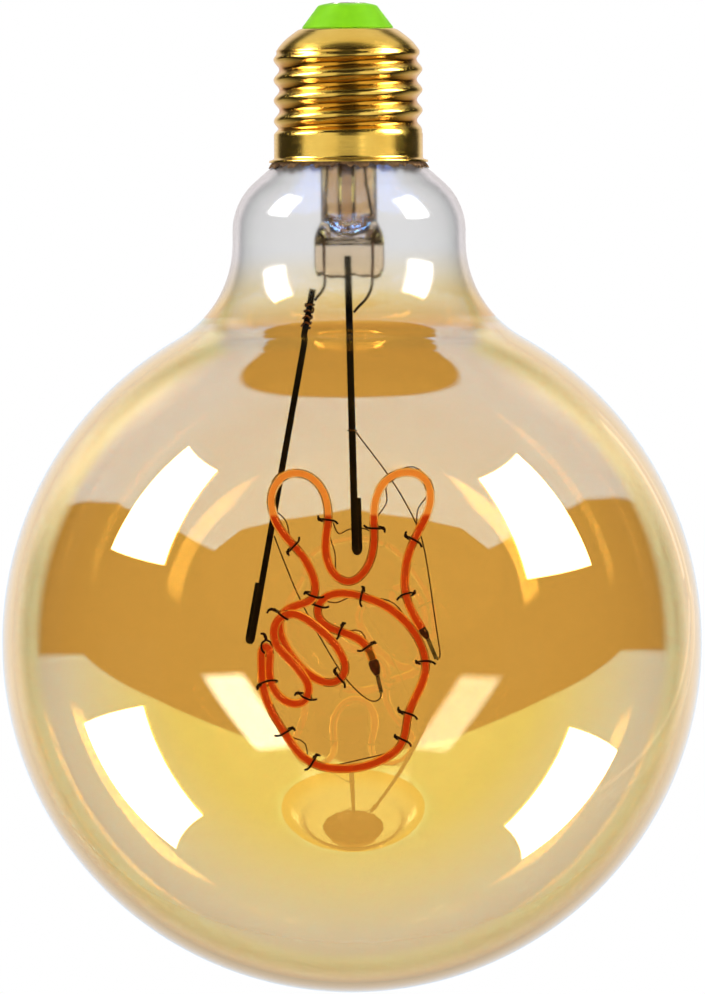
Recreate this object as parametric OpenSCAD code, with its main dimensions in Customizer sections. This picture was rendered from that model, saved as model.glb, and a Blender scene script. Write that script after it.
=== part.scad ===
// Globe lamp with a hand-shaped flexible filament and a screw cap.
// The lamp hangs from its cap: the origin is the face of the centre contact, and +Z points out of it.
// X is to the right and +Y to the rear, seen from the front of the hand.

/* [Glass] */
// Diameter of the globe
globe_d = 124; // [95:1:150]
// Overall length, centre contact to crown
overall_l = 175.4; // [165:0.1:200]
// Outside diameter of the neck below the cap
neck_d = 41.3; // [36:0.1:46]
// Radius of the sweep from neck to globe
neck_blend_r = 19.5; // [12:0.5:25]
// Radius of the neck's rounded shoulder
shoulder_r = 11.7; // [9:0.1:13]
// Outside diameter of the glass where it is sealed inside the cap
seal_d = 23.2; // [22:0.1:23.4]
// Thickness of the blown glass
glass_t = 0.9; // [0.6:0.1:1.4]

/* [Screw cap] */
// Crest diameter of the rolled thread
thread_d = 26.4; // [26.05:0.05:26.45]
// Root diameter of the rolled thread
root_d = 24.4; // [24.3:0.05:24.6]
// Pitch, seven turns to the inch
thread_pitch = 3.629; // [3.5:0.001:3.7]
// Diameter of the small flare at the mouth
rim_d = 28.2; // [27:0.1:29]
// Thickness of the brass sheet
sheet_t = 0.35; // [0.25:0.05:0.4]
// Diameter of the centre contact
contact_d = 7.2; // [6:0.1:9]
// Base diameter of the insulator's cone
insulator_d = 16.1; // [15.8:0.1:17]

/* [Stem] */
// Outside diameter of the flare tube
flare_d = 10.1; // [9.5:0.1:11]
// Width of the pinch
pinch_w = 12.6; // [11.5:0.1:13.4]
// Thickness of the pinch
pinch_t = 4; // [3.4:0.1:5]
// Outside diameter of the exhaust tube
exhaust_d = 3.4; // [3:0.1:3.8]
// Diameter of each lead-in wire
lead_d = 0.5; // [0.3:0.02:0.5]
// Diameter of the centre support rod
centre_rod_d = 1.3; // [1:0.05:1.5]
// Diameter of the left support rod
left_rod_d = 1.15; // [1:0.05:1.5]

/* [Filament] */
// Diameter of the coated filament
filament_d = 1.64; // [1.2:0.02:1.64]
// Width of the lit strip inside the coating
strip_w = 0.8; // [0.5:0.05:0.9]
// Thickness of the lit strip
strip_t = 0.24; // [0.15:0.01:0.3]
// Diameter of the formed wire that the filament is tied to
frame_wire_d = 0.26; // [0.2:0.01:0.28]
// Diameter of the tie wire
tie_wire_d = 0.4; // [0.3:0.02:0.4]

/* [Hidden] */

brass = "goldenrod";
lime = "yellowgreen";
wire_grey = "dimgray";
copper = "peru";
clear_glass = [0.9, 0.9, 0.85, 0.35];
amber_glass = [0.85, 0.65, 0.25, 0.45];

// Heights in the cap, below the contact face
insulator_top_z = -0.75;
lip_z = -4.72;
insulator_base_z = -7.2;
thread_top_z = -8.6;
thread_end_z = -23.4;
mouth_z = -28.4;
seal_top_z = -19.5;

// Heights down the stem
neck_z = -40.6;
flare_end_z = -38.8;
pinch_full_z = -43.6;
pinch_end_z = -49.1;
rod_top_z = -45;
exhaust_tip_z = -13.5;
exhaust_x = -0.4;
exhaust_wall = 0.7;
flare_wall = 0.35;
flare_rim_r = seal_d / 2 - glass_t;
seal_x_left = -4.4;
seal_x_right = 4.1;

globe_r = globe_d / 2;
globe_z = globe_r - overall_l;
shoulder_angle = 49;
lead_r = lead_d / 2;
centre_rod_r = centre_rod_d / 2;
left_rod_r = left_rod_d / 2;
filament_r = filament_d / 2;
frame_gap = filament_r + frame_wire_d / 2 + 0.05;
tie_r = filament_r + tie_wire_d / 2 + 0.05;
pair_tie_r = tie_r + 0.1;

// The filament's route, end to end: x, height and depth of the points that draw the curve in
filament_route = [
    [12.5, -111, -1.3], [11, -108.5, -1.2], [9.5, -105, -0.8], [9.5, -101.5, -0.2], [10, -98, 0],
    [11.5, -94.5, 0], [13.5, -91, 0], [14.5, -88, 0], [14, -84.5, 0], [11.5, -82.8, 0],
    [8, -83, 0], [5.5, -85, 0], [4.2, -88, 0], [4, -91.5, 0], [4.2, -95, 0],
    [3.7, -98.5, 0], [2, -101.5, 0], [-0.5, -103, 0], [-3.2, -101.5, 0], [-4.6, -98.5, 0],
    [-4.7, -95, 0], [-4, -91.5, 0], [-4.2, -88, 0], [-5.5, -85, 0], [-8, -83, 0],
    [-11.3, -82.8, 0], [-13.8, -84.9, 0], [-14.6, -88, 0], [-13.8, -91.4, 0], [-11.8, -94.5, 0],
    [-9.3, -97, 0], [-7.5, -99.8, -0.2], [-6.4, -102.6, -0.6], [-6.6, -105.8, -0.6],
    [-9.5, -106.6, 0.2], [-12.2, -107.5, 1.1], [-13.2, -109.8, 1.2], [-12.8, -112.5, 1.2],
    [-11.2, -115.5, 1.2], [-9, -118.3, 1.1], [-6.2, -120.3, 0.8], [-3.2, -121, 0.3],
    [-1, -119, 0], [-1.4, -116.4, -0.3], [-3.2, -113.4, -0.7], [-5.6, -111.1, -1.1],
    [-8, -109.2, -1.2], [-10.6, -107.9, -1.2], [-13.2, -108.8, -1.2], [-14.2, -111.2, -1.2],
    [-13.6, -114, -1.2], [-11.4, -116.2, -1.2], [-9, -118.8, -1.1], [-7.4, -121.6, -0.8],
    [-8.6, -124.4, -0.4], [-11.4, -124.5, -0.2], [-13.8, -122.6, -0.3], [-15, -119.6, -0.4],
    [-14.9, -117, -0.5], [-14.6, -114, -0.3], [-16.4, -114.1, 1.2], [-16.2, -117.2, 1.3],
    [-16.3, -120, 1.3], [-15.6, -123.4, 0.4], [-14, -126.8, 0], [-11.8, -130.2, 0],
    [-9.6, -133.6, 0], [-6.5, -135.7, 0], [-2.5, -136.2, 0], [1.5, -136, 0],
    [5.2, -134.7, 0], [8.6, -132.6, 0], [9.6, -129.6, 0], [9.8, -126.4, 0],
    [11.4, -123.2, 0.2], [13, -120, 0.5], [13.4, -116.8, 0.9], [12.2, -113.2, 1.1],
    [10, -110, 1.1], [7, -107.3, 1], [3.6, -105.7, 1], [0, -104.6, 1],
    [-3.4, -104.5, 1.1], [-5.9, -105.9, 1.3], [-6.5, -108.6, 1.3], [-4.3, -110.9, 1.2],
    [-1.2, -111.7, 0.8], [1.6, -112.9, 0.4], [3.2, -114.9, 0.2], [3.7, -116.6, 0.2]
];
filament_steps = 2;

// Wire ties: position along the route's points, length of the tail and its side
tie_reach = 0.5;
ties = [
    [2, 1], [4.8, -1.4], [13.4, -1.4], [21, -1.2], [29.6, 1.2], [32.8, 1], [41.5, -1.4], [53.6, 1.6],
    [59.5, 2.4], [64.8, -1.2], [66.7, -1.2], [71.5, -1], [73, -1.6], [75.9, -1], [80.5, 1],
    [83.3, 1], [85.7, -1], [87.7, -1]
];

// Ties that hold two strands: position on each strand, length of the tail and its side
pair_ties = [[35.3, 47.8, -2.4], [62.3, 56.9, -2.2]];

// Each formed wire follows the filament from one position to another and bows out between them
finger_frame_span = [1.6, 33];
ring_frame_span = [40.4, 43];
palm_frame_span = [63.4, 88.2];
frame_step = 0.3;

// Bows of the formed wires: from, to, sideways swing
finger_bows = [[2, 4.8, 0.8], [4.8, 7.8, -1.8], [7.8, 10.4, 1.1], [10.4, 13.4, -2],
    [17.4, 21, 1.6], [24.2, 27, 1], [27, 29.6, -1.6], [29.6, 32.8, 0.5]];
palm_bows = [[64.8, 66.7, -1.9], [66.7, 71.5, -1.3], [73, 75.9, 0.5], [77.6, 80.5, 1.2],
    [80.5, 83.3, -1.6], [85.7, 87.8, -1.4]];

// Routes of the single wires: x, depth and height
outer_left_route = [[-4.5, 2.18, -17.8], [-4.4, 1.6, -20.5], [-3.9, 0.6, -25], [-3.9, 0.1, -29.5],
    [-4.2, 0, -34.5], [-4.1, 0, -36.8], [seal_x_left, 0, -38.9]];
outer_right_route = [[4.5, 2.18, -17.8], [3.8, 1.6, -20.5], [2.8, 0.6, -25], [2.7, 0.1, -29.5],
    [3.5, 0, -33.5], [4, 0, -36.5], [seal_x_right, 0, -38.9]];
inner_left_route = [[seal_x_left, 0, -49.1], [-4.4, 0, -50.3], [-4.9, -0.1, -51.4],
    [-5.7, -0.2, -52.3], [-6.25, -0.27, -53.1]];
inner_right_route = [[seal_x_right, 0, -49.1], [4.1, 0, -50.4], [3.6, 0, -51.8],
    [2.8, 0, -53.2], [1.6, 0, -54.2], [0.76, 0, -55.4]];
cross_route = [[-3.2, 1.3, -91.9], [-2.9, 1.3, -93], [-2.2, 1.5, -94.3], [-1, 2.2, -93.2],
    [1, 2.75, -92.8], [2.6, 1.9, -93], [3.2, 1.5, -93.4]];
right_feed_route = [[15.2, -1.3, -116.7], [15.9, -1.1, -116.2], [15.7, -0.8, -114.6],
    [15, 0, -110], [14.3, 0.7, -104.5], [13.6, 1.2, -99.5], [12.9, 1.6, -95.6],
    [12, 1.7, -92.6], [9, 1.7, -86.8], [5.8, 1.7, -82], [3, 1.3, -78.4], [1, 0.72, -75.7]];
left_feed_route = [[5.1, 0.2, -122.5], [5.2, 0.4, -123.5], [4, 1, -124.3], [2.4, 1.6, -123.6],
    [0.6, 2.2, -122], [-1.4, 2.6, -119.8], [-3.4, 2.9, -116.6], [-5.6, 3, -112.8],
    [-8, 3, -108.3], [-9.8, 3, -104.6], [-11.4, 2.9, -100.7], [-13.87, 2.85, -94.2]];
live_route = [[0, 0, -0.5], [0, 0, -3.5], [0, 0, -7.2], [0.4, -0.6, -8], [1.6, -2.4, -8.6],
    [2.2, -3, -9.4]];
neutral_route = [[7.4, 2.1, -17.6], [8.6, 1.9, -17.8], [9.8, 1.6, -17.4], [11, 1.4, -16.6]];
wire_steps = 3;

// Support rods: start and end of the main strand, then how far the bent-back strand reaches up
centre_rod_start = [-0.3, 0, rod_top_z];
centre_rod_end = [0.7, 0.2, -96.5];
left_rod_start = [-6.6, 0, -51];
left_rod_end = [-18, 4, -112.6];
centre_hook_l = 9;
left_hook_l = 10;

// Curves

function arc(c, r, from, to, n) =
    [for (i = [0:n]) c + r * [cos(from + (to - from) * i / n), sin(from + (to - from) * i / n)]];

// A smooth curve drawn in by its points, starting and ending on the first and last
function padded(p) = concat([2 * p[0] - p[1]], p, [2 * p[len(p) - 1] - p[len(p) - 2]]);
function blend(a, b, c, d, t) =
    (a * pow(1 - t, 3) + b * (3 * pow(t, 3) - 6 * pow(t, 2) + 4)
    + c * (-3 * pow(t, 3) + 3 * pow(t, 2) + 3 * t + 1) + d * pow(t, 3)) / 6;
function curve_at(p, u) =
    let (q = padded(p), i = min(floor(u), len(p) - 2))
    blend(q[i], q[i + 1], q[i + 2], q[i + 3], u - i);
function curve(p, steps) =
    [for (i = [0:(len(p) - 1) * steps]) curve_at(p, i / steps)];

// The filament's centre line as x, y, z
filament_points = [for (p = filament_route) [p[0], p[2], p[1]]];
function filament_at(u) = curve_at(filament_points, u);
function heading(u) =
    let (d = filament_at(min(u + 0.05, len(filament_points) - 1)) - filament_at(max(u - 0.05, 0)))
    d / norm(d);

function bow(bows, u) =
    let (hit = [for (b = bows) if (u >= b[0] && u <= b[1]) b])
    len(hit) == 0 ? 0 : hit[0][2] * pow(sin(180 * (u - hit[0][0]) / (hit[0][1] - hit[0][0])), 2);
function frame_path(span, bows, step) =
    [for (u = [span[0]:step:span[1]])
        let (h = heading(u), side = [h[2], 0, -h[0]] / norm([h[2], 0, h[0]]))
        filament_at(u) + [0, frame_gap, 0] + side * bow(bows, u)];

// Solids swept along a path, square to it

function path_heading(p, i) =
    let (d = p[min(i + 1, len(p) - 1)] - p[max(i - 1, 0)])
    d / norm(d);
function side_of(h) = cross(h, [0, 1, 0]) / norm(cross(h, [0, 1, 0]));

function ring_points(p, i, outline) =
    let (h = path_heading(p, i), side = side_of(h), up = cross(side, h))
    [for (q = outline) p[i] + side * q[0] + up * q[1]];
function skin(rings, n, first = 0) =
    [for (i = [0:rings - 2], k = [0:n - 1])
        [first + i * n + k, first + i * n + (k + 1) % n,
        first + (i + 1) * n + (k + 1) % n, first + (i + 1) * n + k]];
function reversed(faces) = [for (f = faces) [for (i = [len(f) - 1:-1:0]) f[i]]];
function polygon_round(r, n) = [for (k = [0:n - 1]) r * [cos(360 * k / n), sin(360 * k / n)]];

// A closed tube through rings of n corners each
module tube(points, n) {
    rings = len(points) / n;
    polyhedron(
        points = points,
        faces = concat(
            [[for (k = [n - 1:-1:0]) k]],
            skin(rings, n),
            [[for (k = [0:n - 1]) (rings - 1) * n + k]]),
        convexity = 10);
}

module sweep(p, outline) {
    tube([for (i = [0:len(p) - 1]) each ring_points(p, i, outline)], len(outline));
}

// A swept tube whose bore has as many corners as its outside
module sweep_tube(p, outline, bore) {
    n = len(outline);
    rings = len(p);
    inner = rings * n;
    polyhedron(
        points = concat(
            [for (i = [0:rings - 1]) each ring_points(p, i, outline)],
            [for (i = [0:rings - 1]) each ring_points(p, i, bore)]),
        faces = concat(
            skin(rings, n),
            reversed(skin(rings, n, inner)),
            [for (k = [0:n - 1]) [(k + 1) % n, k, inner + k, inner + (k + 1) % n]],
            [for (k = [0:n - 1])
                let (a = (rings - 1) * n + k, b = (rings - 1) * n + (k + 1) % n)
                [a, b, inner + b, inner + a]]),
        convexity = 10);
}

module wire(route, d, sides = 6) {
    sweep(curve(route, wire_steps), polygon_round(d / 2, sides));
}

// Moves a shape that stands on the origin along +Z so that it runs from a towards b
module along(a, b) {
    d = b - a;
    translate(a)
        rotate([0, 0, atan2(d[1], d[0])])
            rotate([0, acos(d[2] / norm(d)), 0])
                children();
}

module rod(a, b, r) {
    along(a, b) cylinder(h = norm(b - a), r = r, $fn = 32);
}

// Glass

module glass_outline(inset) {
    blend_r = neck_blend_r;
    blend_x = neck_d / 2 + blend_r;
    blend_z = globe_z + sqrt(pow(globe_r + blend_r, 2) - pow(blend_x, 2));
    blend_angle = atan2(blend_z - globe_z, blend_x);
    foot_r = 3;
    shoulder_x = neck_d / 2 - shoulder_r;
    foot_x = seal_d / 2 + foot_r;
    foot_z = neck_z
        + (shoulder_r + foot_r - (foot_x - shoulder_x) * cos(shoulder_angle)) / sin(shoulder_angle);
    polygon(concat(
        [[0, seal_top_z], [seal_d / 2 - inset, seal_top_z]],
        arc([foot_x, foot_z], foot_r + inset, 180, 180 + shoulder_angle, 4),
        arc([shoulder_x, neck_z], shoulder_r - inset, shoulder_angle, 0, 8),
        arc([blend_x, blend_z], blend_r + inset, 180, 180 + blend_angle, 12),
        arc([0, globe_z], globe_r - inset, blend_angle - 5, -90, 40)));
}

module glass_globe() {
    color(amber_glass)
    rotate_extrude($fn = 96)
    difference() {
        glass_outline(0);
        glass_outline(glass_t);
        translate([-1, seal_top_z - 1]) square([seal_d / 2 - glass_t + 1, 2]);
        translate([-1, -overall_l - 1]) square([1, overall_l]);
    }
}

// The pinch seen from the side: as deep as the tube at the top, pressed flat below
module pinch_side() {
    half = pinch_t / 2;
    polygon(concat(
        [[-flare_d / 2, flare_end_z]],
        arc([-flare_d / 2 - 1, pinch_full_z], flare_d / 2 + 1 - half, 45, 0, 5),
        arc([0, pinch_end_z + half], half, 180, 360, 10),
        arc([flare_d / 2 + 1, pinch_full_z], flare_d / 2 + 1 - half, 180, 135, 5),
        [[flare_d / 2, flare_end_z]]));
}

// The pinch as a round bar: it swells from the tube's width to its own
module pinch_bar() {
    rotate_extrude($fn = 64)
    polygon(concat(
        [[0, pinch_end_z - 1], [pinch_w / 2 - 0.4, pinch_end_z - 1], [pinch_w / 2, pinch_end_z + 1]],
        arc([flare_d / 2 - 1, flare_end_z - 3.2], pinch_w / 2 - flare_d / 2 + 1, 0, 60, 5),
        [[flare_d / 2, flare_end_z], [0, flare_end_z]]));
}

module flare_outline() {
    trumpet_r = flare_rim_r - flare_d / 2;
    trumpet_z = -26.5;
    polygon(concat(
        [[flare_d / 2 - flare_wall, flare_end_z], [flare_d / 2, flare_end_z]],
        arc([flare_rim_r, trumpet_z], trumpet_r, 180, 90, 10),
        arc([flare_rim_r, trumpet_z], trumpet_r + flare_wall, 90, 180, 10)));
}

module stem_flare() {
    port_z = -42.4;
    color(clear_glass)
    difference() {
        union() {
            rotate_extrude($fn = 96) flare_outline();
            intersection() {
                pinch_bar();
                rotate([90, 0, 90]) linear_extrude(pinch_w, center = true) pinch_side();
            }
        }
        for (x = [seal_x_left, seal_x_right])
            translate([x, 0, pinch_end_z - 1]) cylinder(h = 12, r = lead_r, $fn = 32);
        rod(centre_rod_start, centre_rod_end, centre_rod_r);
        translate([exhaust_x, 0, port_z]) cylinder(h = 4, d = exhaust_d - 2 * exhaust_wall, $fn = 32);
        translate([exhaust_x, 0, flare_end_z - 1]) cylinder(h = 2, d = exhaust_d, $fn = 32);
        translate([exhaust_x, 0, port_z + 0.4]) rotate([90, 0, 0]) cylinder(h = 8, r = 0.9, $fn = 32);
    }
}

module exhaust_tube() {
    r = exhaust_d / 2;
    bore_r = r - exhaust_wall;
    color(clear_glass)
    translate([exhaust_x, 0, 0])
    rotate_extrude($fn = 32)
    polygon(concat(
        [[bore_r, flare_end_z - 1], [r, flare_end_z - 1], [r, exhaust_tip_z - 3]],
        [[r * 0.8, exhaust_tip_z - 1.2], [0.5, exhaust_tip_z - 0.2], [0, exhaust_tip_z]],
        [[0, exhaust_tip_z - 1.4], [r * 0.4, exhaust_tip_z - 2.4], [bore_r, exhaust_tip_z - 3.6]]));
}

// Leads and rods

module outer_lead_left() {
    color(copper) wire(outer_left_route, lead_d);
}

module outer_lead_right() {
    color(copper) wire(outer_right_route, lead_d);
}

module seal_wire(x) {
    color(copper) translate([x, 0, pinch_end_z]) cylinder(h = 10.2, r = lead_r, $fn = 32);
}

module seal_wire_left() {
    seal_wire(seal_x_left);
}

module seal_wire_right() {
    seal_wire(seal_x_right);
}

module inner_lead_left() {
    color(wire_grey) wire(inner_left_route, lead_d);
}

module inner_lead_right() {
    color(wire_grey) wire(inner_right_route, lead_d);
}

// Copper wire wound round the left rod where the lead is welded to it
wrap_wire_d = 0.36;
wrap_pitch = 1.3;
wrap_turns = 4;
wrap_start = 2.5;
wrap_steps = 16;
wrap_r = left_rod_r + wrap_wire_d / 2 + 0.04;
wrap_points = [for (i = [0:wrap_turns * wrap_steps])
    let (a = 360 * i / wrap_steps)
    [wrap_r * cos(a), wrap_r * sin(a), wrap_start + wrap_pitch * i / wrap_steps]];
echo(wrap_least_gap = min([for (i = [0:len(wrap_points) - 1], j = [0:len(wrap_points) - 1])
    if (j - i > wrap_steps / 2) norm(wrap_points[i] - wrap_points[j])]) - wrap_wire_d);

module weld_wrap_left() {
    outline = polygon_round(wrap_wire_d / 2, 6);
    color(copper)
    along(left_rod_start, left_rod_end)
    tube([for (i = [0:len(wrap_points) - 1], q = outline)
        let (a = 360 * i / wrap_steps)
        wrap_points[i] + [cos(a) * q[0], sin(a) * q[0], q[1]]], len(outline));
}

// A rod whose end is bent back on itself, with the short strand on one side
module bent_back_rod(a, b, hook_l, turn, r) {
    gap = 0.05;
    l = norm(b - a);
    color(wire_grey)
    along(a, b) {
        cylinder(h = l, r = r, $fn = 32);
        rotate([0, 0, turn]) {
            translate([2 * r + gap, 0, l - hook_l]) cylinder(h = hook_l, r = r, $fn = 32);
            translate([r + gap / 2, 0, l])
                rotate([90, 0, 0])
                rotate_extrude(angle = 180, $fn = 48)
                translate([r + gap / 2, 0]) circle(r, $fn = 32);
        }
    }
}

module centre_rod() {
    bent_back_rod(centre_rod_start, centre_rod_end, centre_hook_l, 130, centre_rod_r);
}

module left_rod() {
    bent_back_rod(left_rod_start, left_rod_end, left_hook_l, 220, left_rod_r);
}

module cross_wire() {
    color(wire_grey) wire(cross_route, frame_wire_d);
}

// Filament

function slot_outline(w, t) =
    [[w, 0], [w, t], [0, t], [-w, t], [-w, 0], [-w, -t], [0, -t], [w, -t]] / 2;

module filament_coating() {
    clearance = 0.06;
    color("orangered")
    sweep_tube(
        curve(filament_points, filament_steps),
        polygon_round(filament_r, 8),
        slot_outline(strip_w + clearance, strip_t + clearance));
}

module filament_strip() {
    color("gold")
    sweep(
        curve(filament_points, filament_steps),
        [[strip_w, strip_t], [-strip_w, strip_t], [-strip_w, -strip_t], [strip_w, -strip_t]] / 2);
}

// Tapered sleeve that seals an end of the filament, then its flat metal tab
last_point = len(filament_points) - 1;
right_end = filament_points[0] - 0.03 * heading(0);
right_tab_start = filament_points[0] - 2.1 * heading(0);
right_tab_end = [15.1, -1.3, -116.5];
left_end = filament_points[last_point] + 0.03 * heading(last_point);
left_tab_start = filament_points[last_point] + 2.8 * heading(last_point);
left_tab_end = [5.2, 0.2, -122.5];

module end_sleeve(a, b, r) {
    l = norm(b - a);
    color("maroon")
    along(a, b)
    rotate_extrude($fn = 32)
    polygon([[0, 0], [filament_r * 0.9, 0], [r, l * 0.15], [r, l * 0.55], [r * 0.55, l], [0, l]]);
}

module end_tab(a, b) {
    w = 0.7;
    t = 0.16;
    color("silver")
    along(a, b)
    translate([-w / 2, -t / 2, 0]) cube([w, t, norm(b - a)]);
}

module right_end_sleeve() {
    end_sleeve(right_end, right_tab_start, 0.72);
}

module right_end_tab() {
    end_tab(right_tab_start, right_tab_end);
}

module left_end_sleeve() {
    end_sleeve(left_end, left_tab_start, 0.95);
}

module left_end_tab() {
    end_tab(left_tab_start, left_tab_end);
}

module right_feed_wire() {
    wrap_at = centre_rod_start + 0.59 * (centre_rod_end - centre_rod_start);
    color(wire_grey) {
        wire(right_feed_route, frame_wire_d);
        along(wrap_at, centre_rod_end)
            rotate_extrude($fn = 32)
            translate([centre_rod_r + frame_wire_d / 2 + 0.02, 0])
            circle(d = frame_wire_d, $fn = 16);
    }
}

module left_feed_wire() {
    color(wire_grey) wire(left_feed_route, frame_wire_d);
}

module formed_wire(span, bows) {
    color(wire_grey) sweep(frame_path(span, bows, frame_step), polygon_round(frame_wire_d / 2, 5));
}

module finger_frame_wire() {
    formed_wire(finger_frame_span, finger_bows);
}

module ring_frame_wire() {
    formed_wire(ring_frame_span, []);
}

module palm_frame_wire() {
    formed_wire(palm_frame_span, palm_bows);
}

// One loop of tie wire in the XY plane: round the filament at the front and the formed wire behind
module tie_loop(loop_r, reach, tail) {
    r = tie_wire_d / 2;
    for (end = [[180, 0], [0, reach]])
        translate([0, end[1], 0])
            rotate([0, 0, end[0]])
            rotate_extrude(angle = 180, $fn = 32)
            translate([loop_r, 0]) circle(r, $fn = 16);
    for (x = [-loop_r, loop_r])
        translate([x, 0, 0]) rotate([-90, 0, 0]) cylinder(h = reach, r = r, $fn = 16);
    side = sign(tail);
    translate([side * loop_r, reach / 2, 0])
        rotate([0, side * 90, 0]) cylinder(h = abs(tail), r = r * 1.2, $fn = 16);
}

// Puts a loop drawn in the XY plane square to the filament
module square_to_filament(u) {
    h = heading(u);
    translate(filament_at(u))
        rotate([-asin(h[1]), atan2(h[0], h[2]), 0])
            children();
}

module pair_tie(u, other_u, tail) {
    h = heading(u);
    gap = filament_at(other_u) - filament_at(u);
    side = [h[2], 0, -h[0]] / norm([h[2], 0, h[0]]);
    across = gap * side;
    upward = gap * cross(h, side);
    square_to_filament(u)
        rotate([0, 0, atan2(-across, upward)])
            tie_loop(pair_tie_r, norm([across, upward]), tail);
}

module tie_wires() {
    color([0.2, 0.17, 0.15]) {
        for (t = ties)
            square_to_filament(t[0]) tie_loop(tie_r, tie_reach, t[1]);
        for (t = pair_ties)
            pair_tie(t[0], t[1], t[2]);
    }
}

// Screw cap

// Outside of the shell as radius and height, with the thread's share of the swing
function shell_rows() =
    let (
        mean_r = (thread_d + root_d) / 4,
        skirt_r = thread_d / 2,
        shoulder_top_r = 8.8,
        rows = ceil((thread_top_z - thread_end_z) / (thread_pitch / 6)))
    concat(
        [[7.7, lip_z - 0.1, 0], [8.25, lip_z, 0]],
        [for (i = [0:4])
            let (t = i / 5)
            [shoulder_top_r + (mean_r - shoulder_top_r) * t + 0.45 * sin(180 * t),
            lip_z - 0.18 + (thread_top_z - lip_z + 0.18) * t, 0]],
        [for (i = [0:rows])
            let (z = thread_top_z + (thread_end_z - thread_top_z) * i / rows,
                fade = min(1, (thread_top_z - z) / 1.4, (z - thread_end_z) / 1.4))
            [z > thread_end_z + 1 ? mean_r : skirt_r - (skirt_r - mean_r) * (z - thread_end_z), z, fade]],
        [[skirt_r, mouth_z + 0.6, 0], [rim_d / 2 - 0.15, mouth_z + 0.35, 0], [rim_d / 2, mouth_z, 0]]);

shell_sides = 36;
crest_z = -17.4;
function shell_ring(row, inset) =
    [for (k = [0:shell_sides - 1])
        let (
            a = 360 * k / shell_sides,
            swing = (thread_d - root_d) / 4 * row[2],
            r = row[0] - inset + swing * cos(360 * (row[1] - crest_z) / thread_pitch - a + 180))
        [r * cos(a), r * sin(a), row[1]]];

module screw_shell() {
    rows = shell_rows();
    n = shell_sides;
    m = len(rows);
    outside = [for (row = rows) each shell_ring(row, 0)];
    inside = [for (i = [m - 1:-1:0])
        let (drop = i < 7 ? sheet_t : 0)
        each shell_ring([rows[i][0], rows[i][1] - drop, rows[i][2]], i < 1 ? 0 : sheet_t)];
    rings = 2 * m;
    color(brass)
    polyhedron(
        points = concat(outside, inside),
        faces = [for (i = [0:rings - 1], k = [0:n - 1])
            let (j = (i + 1) % rings)
            [i * n + k, i * n + (k + 1) % n, j * n + (k + 1) % n, j * n + k]],
        convexity = 10);
}

module cap_insulator() {
    wire_hole_r = 0.6;
    seat_r = contact_d / 2;
    color(lime)
    rotate_extrude($fn = 64)
    polygon(concat(
        [[wire_hole_r, -0.9], [seat_r, -0.9], [seat_r, -0.25], [4.6, -0.48], [5.3, insulator_top_z]],
        [[insulator_d / 2 - 0.05, lip_z + 0.12], [insulator_d / 2 - 0.65, lip_z - 0.02]],
        [[7.6, lip_z - 0.1], [7.6, lip_z - 0.75], [8.4, insulator_base_z + 1.1]],
        [[8.6, insulator_base_z], [wire_hole_r, insulator_base_z]]));
}

module centre_contact() {
    r = contact_d / 2;
    color("lightgray")
    rotate_extrude($fn = 64)
    polygon([[0.35, -0.9], [r, -0.9], [r, -0.22], [r - 0.9, -0.03], [r - 1.3, 0], [0, 0], [0, -0.5],
        [0.35, -0.5]]);
}

module cap_cement() {
    outer_r = (thread_d / 2 - sheet_t) * cos(180 / shell_sides) - 0.03;
    inner_r = seal_d / 2 + 0.02;
    color("wheat")
    rotate_extrude($fn = 64)
    polygon([[inner_r, -24.2], [outer_r, -24.2], [outer_r, -27.4], [12.3, -27.2], [inner_r, -26.1]]);
}

// Driver inside the cap

board_y = 2.4;
board_t = 0.8;
board_w = 16;
board_h = 11;
board_top_z = -7.4;

module driver_board() {
    color("seagreen")
    translate([-board_w / 2, board_y, board_top_z - board_h]) cube([board_w, board_t, board_h]);
}

module smoothing_capacitor() {
    can_d = 6.3;
    can_h = 9;
    bead_r = 0.25;
    color("midnightblue")
    translate([-3.9, board_y + board_t + can_d / 2, -17.5])
    rotate_extrude($fn = 48)
    polygon([[0, 0], [can_d / 2 - bead_r, 0], [can_d / 2, bead_r], [can_d / 2, 1.2],
        [can_d / 2 - bead_r, 1.5], [can_d / 2, 1.8], [can_d / 2, can_h - bead_r],
        [can_d / 2 - bead_r, can_h], [0, can_h]]);
}

module inductor() {
    core_d = 5.2;
    core_h = 6.5;
    flange_h = 0.9;
    waist_r = 2.1;
    color("saddlebrown")
    translate([4.2, board_y + board_t + core_d / 2, -16.2]) {
        cylinder(h = flange_h, d = core_d, $fn = 48);
        cylinder(h = core_h, r = waist_r, $fn = 48);
        translate([0, 0, core_h - flange_h]) cylinder(h = flange_h, d = core_d, $fn = 48);
    }
}

module film_capacitor() {
    color("firebrick")
    translate([-3.5, board_y - 2.6, -12.4]) cube([7, 2.6, 4.5]);
}

module surface_part(x, w, h) {
    t = 1.5;
    color([0.15, 0.15, 0.16])
    translate([x - w / 2, board_y - t, -11 - h / 2]) cube([w, t, h]);
}

module bridge_rectifier() {
    surface_part(-5.7, 4, 4.6);
}

module driver_chip() {
    surface_part(5.8, 3.9, 4.9);
}

module fuse_resistor() {
    fuse_at = [2.2, -3, -15.6];
    body_r = 1.2;
    body_h = 6;
    color("steelblue")
    translate(fuse_at) {
        cylinder(h = body_h, r = body_r, $fn = 32);
        translate([0, 0, -1]) cylinder(h = 1, r = 0.3, $fn = 24);
        translate([0, 0, -1]) rotate([-90, 0, 0]) cylinder(h = board_y - fuse_at[1], r = 0.3, $fn = 24);
    }
}

module live_wire() {
    color("red") wire(live_route, 0.6, 8);
}

module neutral_wire() {
    color("black") wire(neutral_route, 0.6, 8);
}

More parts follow.
